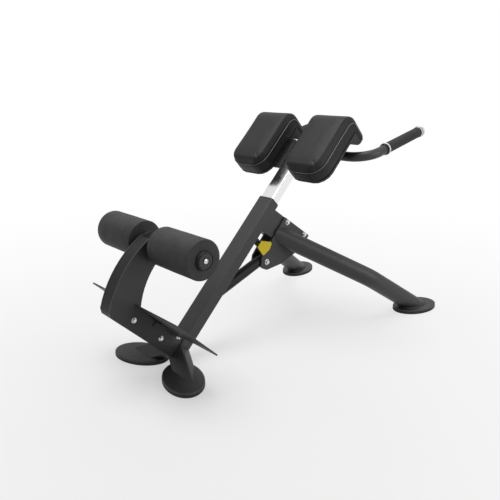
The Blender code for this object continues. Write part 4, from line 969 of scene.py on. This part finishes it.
def foot_plate_disc(end, sign, low, high, edge, inset):
    """An oval plate under a leg, with rounded edges."""
    disc = cylinder(1, high - low, (low + high) / 2, 96)
    disc.scale = (FOOT_LENGTH / 2 - inset, FOOT_WIDTH / 2 - inset, 1)
    soften(applied(disc), edge, 3, 60)
    (x, y), turn = FEET[end]
    place = BENCH @ Matrix.Translation((x, sign * y, 0)) @ Matrix.Rotation(sign * turn, 4, "Z")
    return settle(disc, place)


def make_rubber_soles():
    for end in FEET:
        for side, sign in SIDES:
            sole = foot_plate_disc(end, sign, 0, FLOOR_PLATE_LOW - GAP, 0.002, 0)
            finish(sole, f"rubber_sole_{end}_{side}", [f"rubber_foot_{end}_{side}"], "black_rubber")


def rear_leg_corners(sign):
    return [Vector((x, sign * y, z)) for x, y, z in (REAR_LEG_TOP, REAR_LEG_BEND, REAR_LEG_FOOT)]


def make_rear_leg(side, sign):
    """The bent tube, trimmed at the bracket and at its foot plate, and the plate."""
    spare_top, spare_foot = 0.12, 0.06
    corners = rear_leg_corners(sign)
    corners[0] = corners[0] + (corners[0] - corners[1]).normalized() * spare_top
    corners[2] = corners[2] + (corners[2] - corners[1]).normalized() * spare_foot
    leg = tube(rounded_path(corners, [REAR_LEG_BEND_RADIUS], 14), REAR_LEG_RADIUS, 18)
    trim(leg, (0, sign * (BRACKET_FACE + 2 * GAP), 0), (0, -sign, 0))
    trim(leg, (0, 0, FLOOR_PLATE_TOP - 0.0005), (0, 0, -1))
    settle(shade(leg), BENCH)
    plate = foot_plate_disc("rear", sign, FLOOR_PLATE_LOW, FLOOR_PLATE_TOP, 0.0018, 0.0005)
    finish(merged([leg, plate]), f"rear_leg_tube_{side}", [f"rear_leg_{side}"])


def make_brace():
    foot = Vector((BRACE_FOOT, 0, -UPRIGHT_DEPTH - GAP))
    brace = tube([foot - BRACE_AXIS * 0.08, foot + BRACE_AXIS * BRACE_LENGTH], BRACE_RADIUS, 14)
    trim(brace, foot, (0, 0, 1))
    s, v = BRACKET_BOLTS["low"]
    bush = settle(turned(profile(BRACE_BUSH), 40, True), axis_place(Matrix(), (s, 0, v), (0, 1, 0)))
    bore(brace, [((s, 0, v), (0, 1, 0), 0.0110, 0.04)])
    brace = shade(merged([brace, bush]))
    settle(brace, LEANING)
    # The brace takes the darker coat, which paints the shade on it
    finish(brace, "round_brace", ["brace_tube"], material=SHADE_PAINTED_COAT)


# Handlebar

RING_START, RING_LENGTH, GRIP_CLEARANCE, GRIP_RIBS = 0.005, 0.0077, 0.013, 26
COLLAR = ((18, 0), (22, 0), (22.8, 0.8), (22.8, 3.9), (22, 4.7), (18, 4.7))
RING_ROUND = ((-1.5, 0), (-0.4, 0.8), (0, 2), (0, 5.7), (-0.4, 6.9), (-1.5, 7.7))
END_CAP = (
    (21.8, -12.7), (22.6, -12), (22.6, -6.6), (21.8, -5.8), (19.6, -5.5), (19.6, -1), (21.4, -0.3),
    (23, 0.5), (23.6, 1.5), (23.6, 6), (23.1, 7.8), (22, 9.2), (20.5, 10), (6, 10.5),
)
END_SEAL = ((19.7, -5.4), (21, -5.4), (21, -1.2), (19.7, -1.2))


def make_saddle(x, z):
    """The block that seats the handlebar on the back of the post."""
    rise = math.cos(LEAN) * x + math.sin(LEAN) * z
    ahead = math.cos(LEAN) * z - math.sin(LEAN) * x
    post_back = -UPRIGHT_DEPTH / 2 - POST_DEPTH / 2 - GAP
    saddle = box((rise - 0.020, -0.026, ahead + 0.004), (rise + 0.020, 0.026, post_back))
    seat = cylinder(HANDLE_TUBE - 0.0008, 0.2, 0.0, 48)
    seat.location = (rise, 0, ahead)
    seat.rotation_euler.x = math.pi / 2
    cut(saddle, seat)
    soften(saddle, 0.0012, 2, 50)
    return settle(saddle, LEANING)


def make_handle(side, place):
    """A handle's bright ring, grip, end cap and seal. Returns the collar, which belongs to the bar."""
    inner, end = HANDLE_TUBE + GAP, GRIP_END
    collar = lathed(profile(COLLAR, 0.0, GRIP_START), place)
    low, high = GRIP_START + RING_START, GRIP_START + RING_START + RING_LENGTH
    rings = [(inner, low)] + profile(RING_ROUND, RING_RADIUS, low) + [(inner, high)]
    ring = lathed(rings, place, 64)
    finish(ring, f"bright_ring_{side}", [f"grip_ring_{side}"], "aluminium", "post")
    low, high = GRIP_START + GRIP_CLEARANCE, end - GRIP_CLEARANCE
    rings = [(inner, low), (GRIP_RADIUS - 0.001, low), (GRIP_RADIUS, low + 0.001)]
    for step in range(1, GRIP_RIBS):
        rib = low + (high - low) * step / GRIP_RIBS
        rings += profile([(0, -1.2), (-0.5, 0), (0, 1.2)], GRIP_RADIUS, rib)
    rings += [(GRIP_RADIUS, high - 0.001), (GRIP_RADIUS - 0.001, high), (inner, high)]
    grip = lathed(rings, place)
    finish(grip, f"ribbed_grip_{side}", [f"hand_grip_{side}"], "black_rubber", "post", GRIP)
    plug = [(0.0162, end - 0.024), (0.0162, end - 0.0017), (inner, end - 0.0017), (inner, end - 0.0127)]
    cap = lathed(plug + profile(END_CAP, 0.0, end), place, 64, False, 35)
    finish(cap, f"bright_end_cap_{side}", [f"handle_end_cap_{side}"], "aluminium", "post")
    seal = lathed(profile(END_SEAL, 0.0, end), place, 64, True, 35)
    finish(seal, f"end_cap_seal_{side}", (), "black_plastic", "post")
    return collar


def make_handlebar():
    x, z = HANDLE_BACK
    reach = Vector((math.cos(HANDLE_RISE), 0, math.sin(HANDLE_RISE))) * (GRIP_END - 0.002)
    corners = [(x + reach.x, -HANDLE_SPREAD, z + reach.z), (x, -HANDLE_SPREAD, z)]
    corners += [(px, -py, pz) for px, py, pz in corners[::-1]]
    bar = settle(tube(rounded_path(corners, [HANDLE_BEND] * 2, 16), HANDLE_TUBE, 14), BENCH)
    parts = [bar, make_saddle(x, z)]
    for side, sign in SIDES:
        start = Vector((x, sign * HANDLE_SPREAD, z))
        parts.append(make_handle(side, axis_place(BENCH, start, reach.normalized())))
    finish(merged(parts), "handlebar_tube", ["handlebar"], body="post")


# Welds


def weld_bead(start, along, side, tube_radius, normal, level, steps, radius):
    """A bead where a tube from start meets a plane at a level; it swells and shrinks from step to step."""
    other = along.cross(side)
    ring = []
    for step in range(steps):
        turn = 2 * math.pi * step / steps
        spoke = (side * math.cos(turn) + other * math.sin(turn)) * (tube_radius + 0.0006)
        point = start + spoke
        point = point - along * ((point.dot(normal) - level) / along.dot(normal))
        ring.append(point + Vector((0, 0, 0.0003 * math.sin(step * 2.1))))
    return tube(ring, radius, 3, True)


def make_welds():
    """Beads round the brace's foot and both ends of the rear legs."""
    across, upward = Vector((0, 1, 0)), Vector((0, 0, 1))
    foot = Vector((BRACE_FOOT, 0, -UPRIGHT_DEPTH))
    brace_bead = weld_bead(foot, BRACE_AXIS, across, BRACE_RADIUS, upward, -UPRIGHT_DEPTH, 64, 0.0026)
    beads = [settle(brace_bead, LEANING)]
    for _, sign in SIDES:
        top, bend, foot = rear_leg_corners(sign)
        for start, normal, level in ((top, across, sign * BRACKET_FACE), (foot, upward, FLOOR_PLATE_TOP)):
            along = (bend - start).normalized()
            side = along.orthogonal().normalized()
            bead = weld_bead(start, along, side, REAR_LEG_RADIUS, normal, level, 72, 0.0028)
            beads.append(settle(bead, BENCH))
    finish(shade(merged(beads), 60), "weld_beads")


# CAD nodes that keep their form, with the width of their softened edges
REFINED = (
    ("frame_paint", "frame", 0.0012, "upright_gusset"),
    ("frame_paint", "frame", 0.0010, "bracket_plate_near bracket_plate_far"),
    ("frame_paint", "frame", 0.0006, "bracket_spacer"),
    ("frame_paint", "frame", 0.0008, "front_leg_near front_leg_far arm_plate_near arm_plate_far"),
    ("frame_paint", "frame", 0.0006, "arm_front_cover arm_rear_cover arm_beam"),
    ("frame_paint", "frame", 0.0010, "foot_plate"),
    ("frame_paint", "post", 0.0010, "pad_bracket_near pad_bracket_far"),
    ("black_plastic", "frame", 0.0006, "upright_top_sleeve"),
    ("black_plastic", "post", 0.0005, "post_top_cap post_bottom_slider"),
    ("zinc_steel", "lock", 0.0005, "lock_plunger"),
    ("yellow_plastic", "lock", 0.0004, "release_tab"),
    ("laminated_board", "post", 0.0010, "pad_board_near pad_board_far"),
    ("zinc_steel", "frame", 0.0006, "roller_axle"),
    ("black_plastic", "roller_near", 0.0004, "roller_core_near"),
    ("black_plastic", "roller_far", 0.0004, "roller_core_far"),
    ("zinc_steel", "frame", 0.0003, "foot_plate_bolt_near foot_plate_bolt_far"),
    ("zinc_steel", "post", 0.0003, "pad_bolt_inner_near pad_bolt_inner_far"),
    ("zinc_steel", "post", 0.0003, "pad_bolt_outer_near pad_bolt_outer_far"),
)


def make_refined():
    for slot, body, edge, nodes in REFINED:
        for node in nodes.split():
            refined(node, slot, body, edge)


# Floor, light and camera

FLOOR_CENTRE = (-0.55, -0.55, 0.0)
FLOOR_GREY_TO, FLOOR_WHITE_FROM = 0.3, 3.3
FLOOR_COLOUR, BOUNCE_COLOUR = (0.93, 0.93, 0.92), grey(0.45)
SKY_COLOUR, SKY_LEFT, SKY_RIGHT = (0.98, 0.99, 1.0), 0.18, 0.50
CAMERA_PLACE = (-0.9140 + FRONT_FACE_AT_FLOOR, -1.4073, 0.9558)
CAMERA_LENS, CAMERA_DOWN, CAMERA_TURN = 38.42, 17.49, -44.08


def seen_by_camera(tree):
    """1 for camera, mirror and transmission rays, so that the background shows white to them alone."""
    path = tree.nodes.new("ShaderNodeLightPath").outputs
    seen = math_node(tree, "ADD", path["Is Camera Ray"], path["Is Glossy Ray"], True)
    return math_node(tree, "ADD", seen, path["Is Transmission Ray"], True)


def mix_shaders(tree, factor, first, second):
    return add_node(tree, "MixShader", {0: factor, 1: first, 2: second}).outputs["Shader"]


def make_floor():
    """A pale floor that fades to white away from the bench, and that lights the bench less than it shows."""
    clear_selection()
    bpy.ops.mesh.primitive_plane_add(size=40, location=(0, 0, -0.0002))
    floor = bpy.context.object
    floor.name = "studio_floor"
    material, tree, shader, place = new_material("studio_floor")
    fill(tree, shader, {"Base Color": FLOOR_COLOUR, "Roughness": 0.9, "Specular IOR Level": 0.1})
    distance = add_node(tree, "VectorMath", {0: place, 1: FLOOR_CENTRE}, operation="DISTANCE")
    nearness = range_node(tree, distance.outputs["Value"], FLOOR_GREY_TO, FLOOR_WHITE_FROM, 1.0, 0.0)
    far = math_node(tree, "SUBTRACT", 1.0, times(tree, nearness, nearness))
    white = add_node(tree, "Emission", {"Strength": range_node(tree, far, 0.0, 1.0, 0.885, 1.0)})
    seen = seen_by_camera(tree)
    bounce = add_node(tree, "BsdfDiffuse", {"Color": BOUNCE_COLOUR})
    near = mix_shaders(tree, seen, bounce.outputs["BSDF"], shader.outputs["BSDF"])
    glow = times(tree, range_node(tree, far, 0.0, 1.0, 0.5, 1.0), seen)
    blend = mix_shaders(tree, glow, near, white.outputs["Emission"])
    tree.links.new(blend, tree.nodes["Material Output"].inputs["Surface"])
    floor.data.materials.append(material)


def make_world():
    """White to the camera; a softer sky lights the bench, and mirrors see it dimmer toward the horizon."""
    world = bpy.data.worlds.new("studio")
    bpy.context.scene.world = world
    world.use_nodes = True
    tree = world.node_tree
    view = tree.nodes.new("ShaderNodeTexCoord").outputs["Generated"]
    direction = add_node(tree, "SeparateXYZ", {0: view}).outputs
    strength = range_node(tree, direction["X"], -1.0, 1.0, SKY_LEFT, SKY_RIGHT)
    plain = tree.nodes["Background"]
    fill(tree, plain, {"Color": SKY_COLOUR, "Strength": strength})
    glossy = tree.nodes.new("ShaderNodeLightPath").outputs["Is Glossy Ray"]
    dimmed = times(tree, glossy, range_node(tree, direction["Z"], 0.0, 0.8, 0.6, 0.0))
    strength = math_node(tree, "SUBTRACT", 1.0, dimmed)
    white = add_node(tree, "Background", {"Color": grey(1.0), "Strength": strength})
    blend = mix_shaders(tree, seen_by_camera(tree), plain.outputs["Background"], white.outputs["Background"])
    tree.links.new(blend, tree.nodes["World Output"].inputs["Surface"])


def add_lamp(name, place, target, size, power):
    lamp = linked(name, assign(bpy.data.lights.new(name, "AREA"), size=size, energy=power))
    lamp.location = place
    lamp.rotation_euler = (Vector(target) - Vector(place)).to_track_quat("-Z", "Y").to_euler()


def make_lights():
    add_lamp("overhead", (-0.5, 0.5, 5.3), (0, 0, 0.2), 3.0, 155)
    add_lamp("near_side", (1.0, -3.4, 1.6), (0, 0, 0.4), 2.4, 40)


def make_camera():
    camera = linked("camera", assign(bpy.data.cameras.new("camera"), lens=CAMERA_LENS, sensor_width=36))
    camera.location = CAMERA_PLACE
    camera.rotation_euler = (math.radians(90 - CAMERA_DOWN), 0, math.radians(CAMERA_TURN))
    bpy.context.scene.camera = camera
    bpy.context.scene.view_settings.view_transform = "Standard"


def dress_kept_nodes():
    """Gives every CAD node that stays its finish."""
    slots = {row["node"]: row["material_slot"] for row in frame["record"]["subparts"]}
    for name, node in frame["nodes"].items():
        for index in range(len(node.material_slots)):
            node.material_slots[index].material = LOOK[slots[name]]


make_camera()
make_world()
make_lights()
make_floor()
dress_kept_nodes()
make_upright()
make_chrome_post()
make_brace()
make_rubber_soles()
for leg_side, leg_sign in SIDES:
    make_rear_leg(leg_side, leg_sign)
    make_roller(leg_side, leg_sign)
    make_pad(leg_side, leg_sign)
make_handlebar()
make_fasteners()
make_welds()
make_refined()
clear_selection()
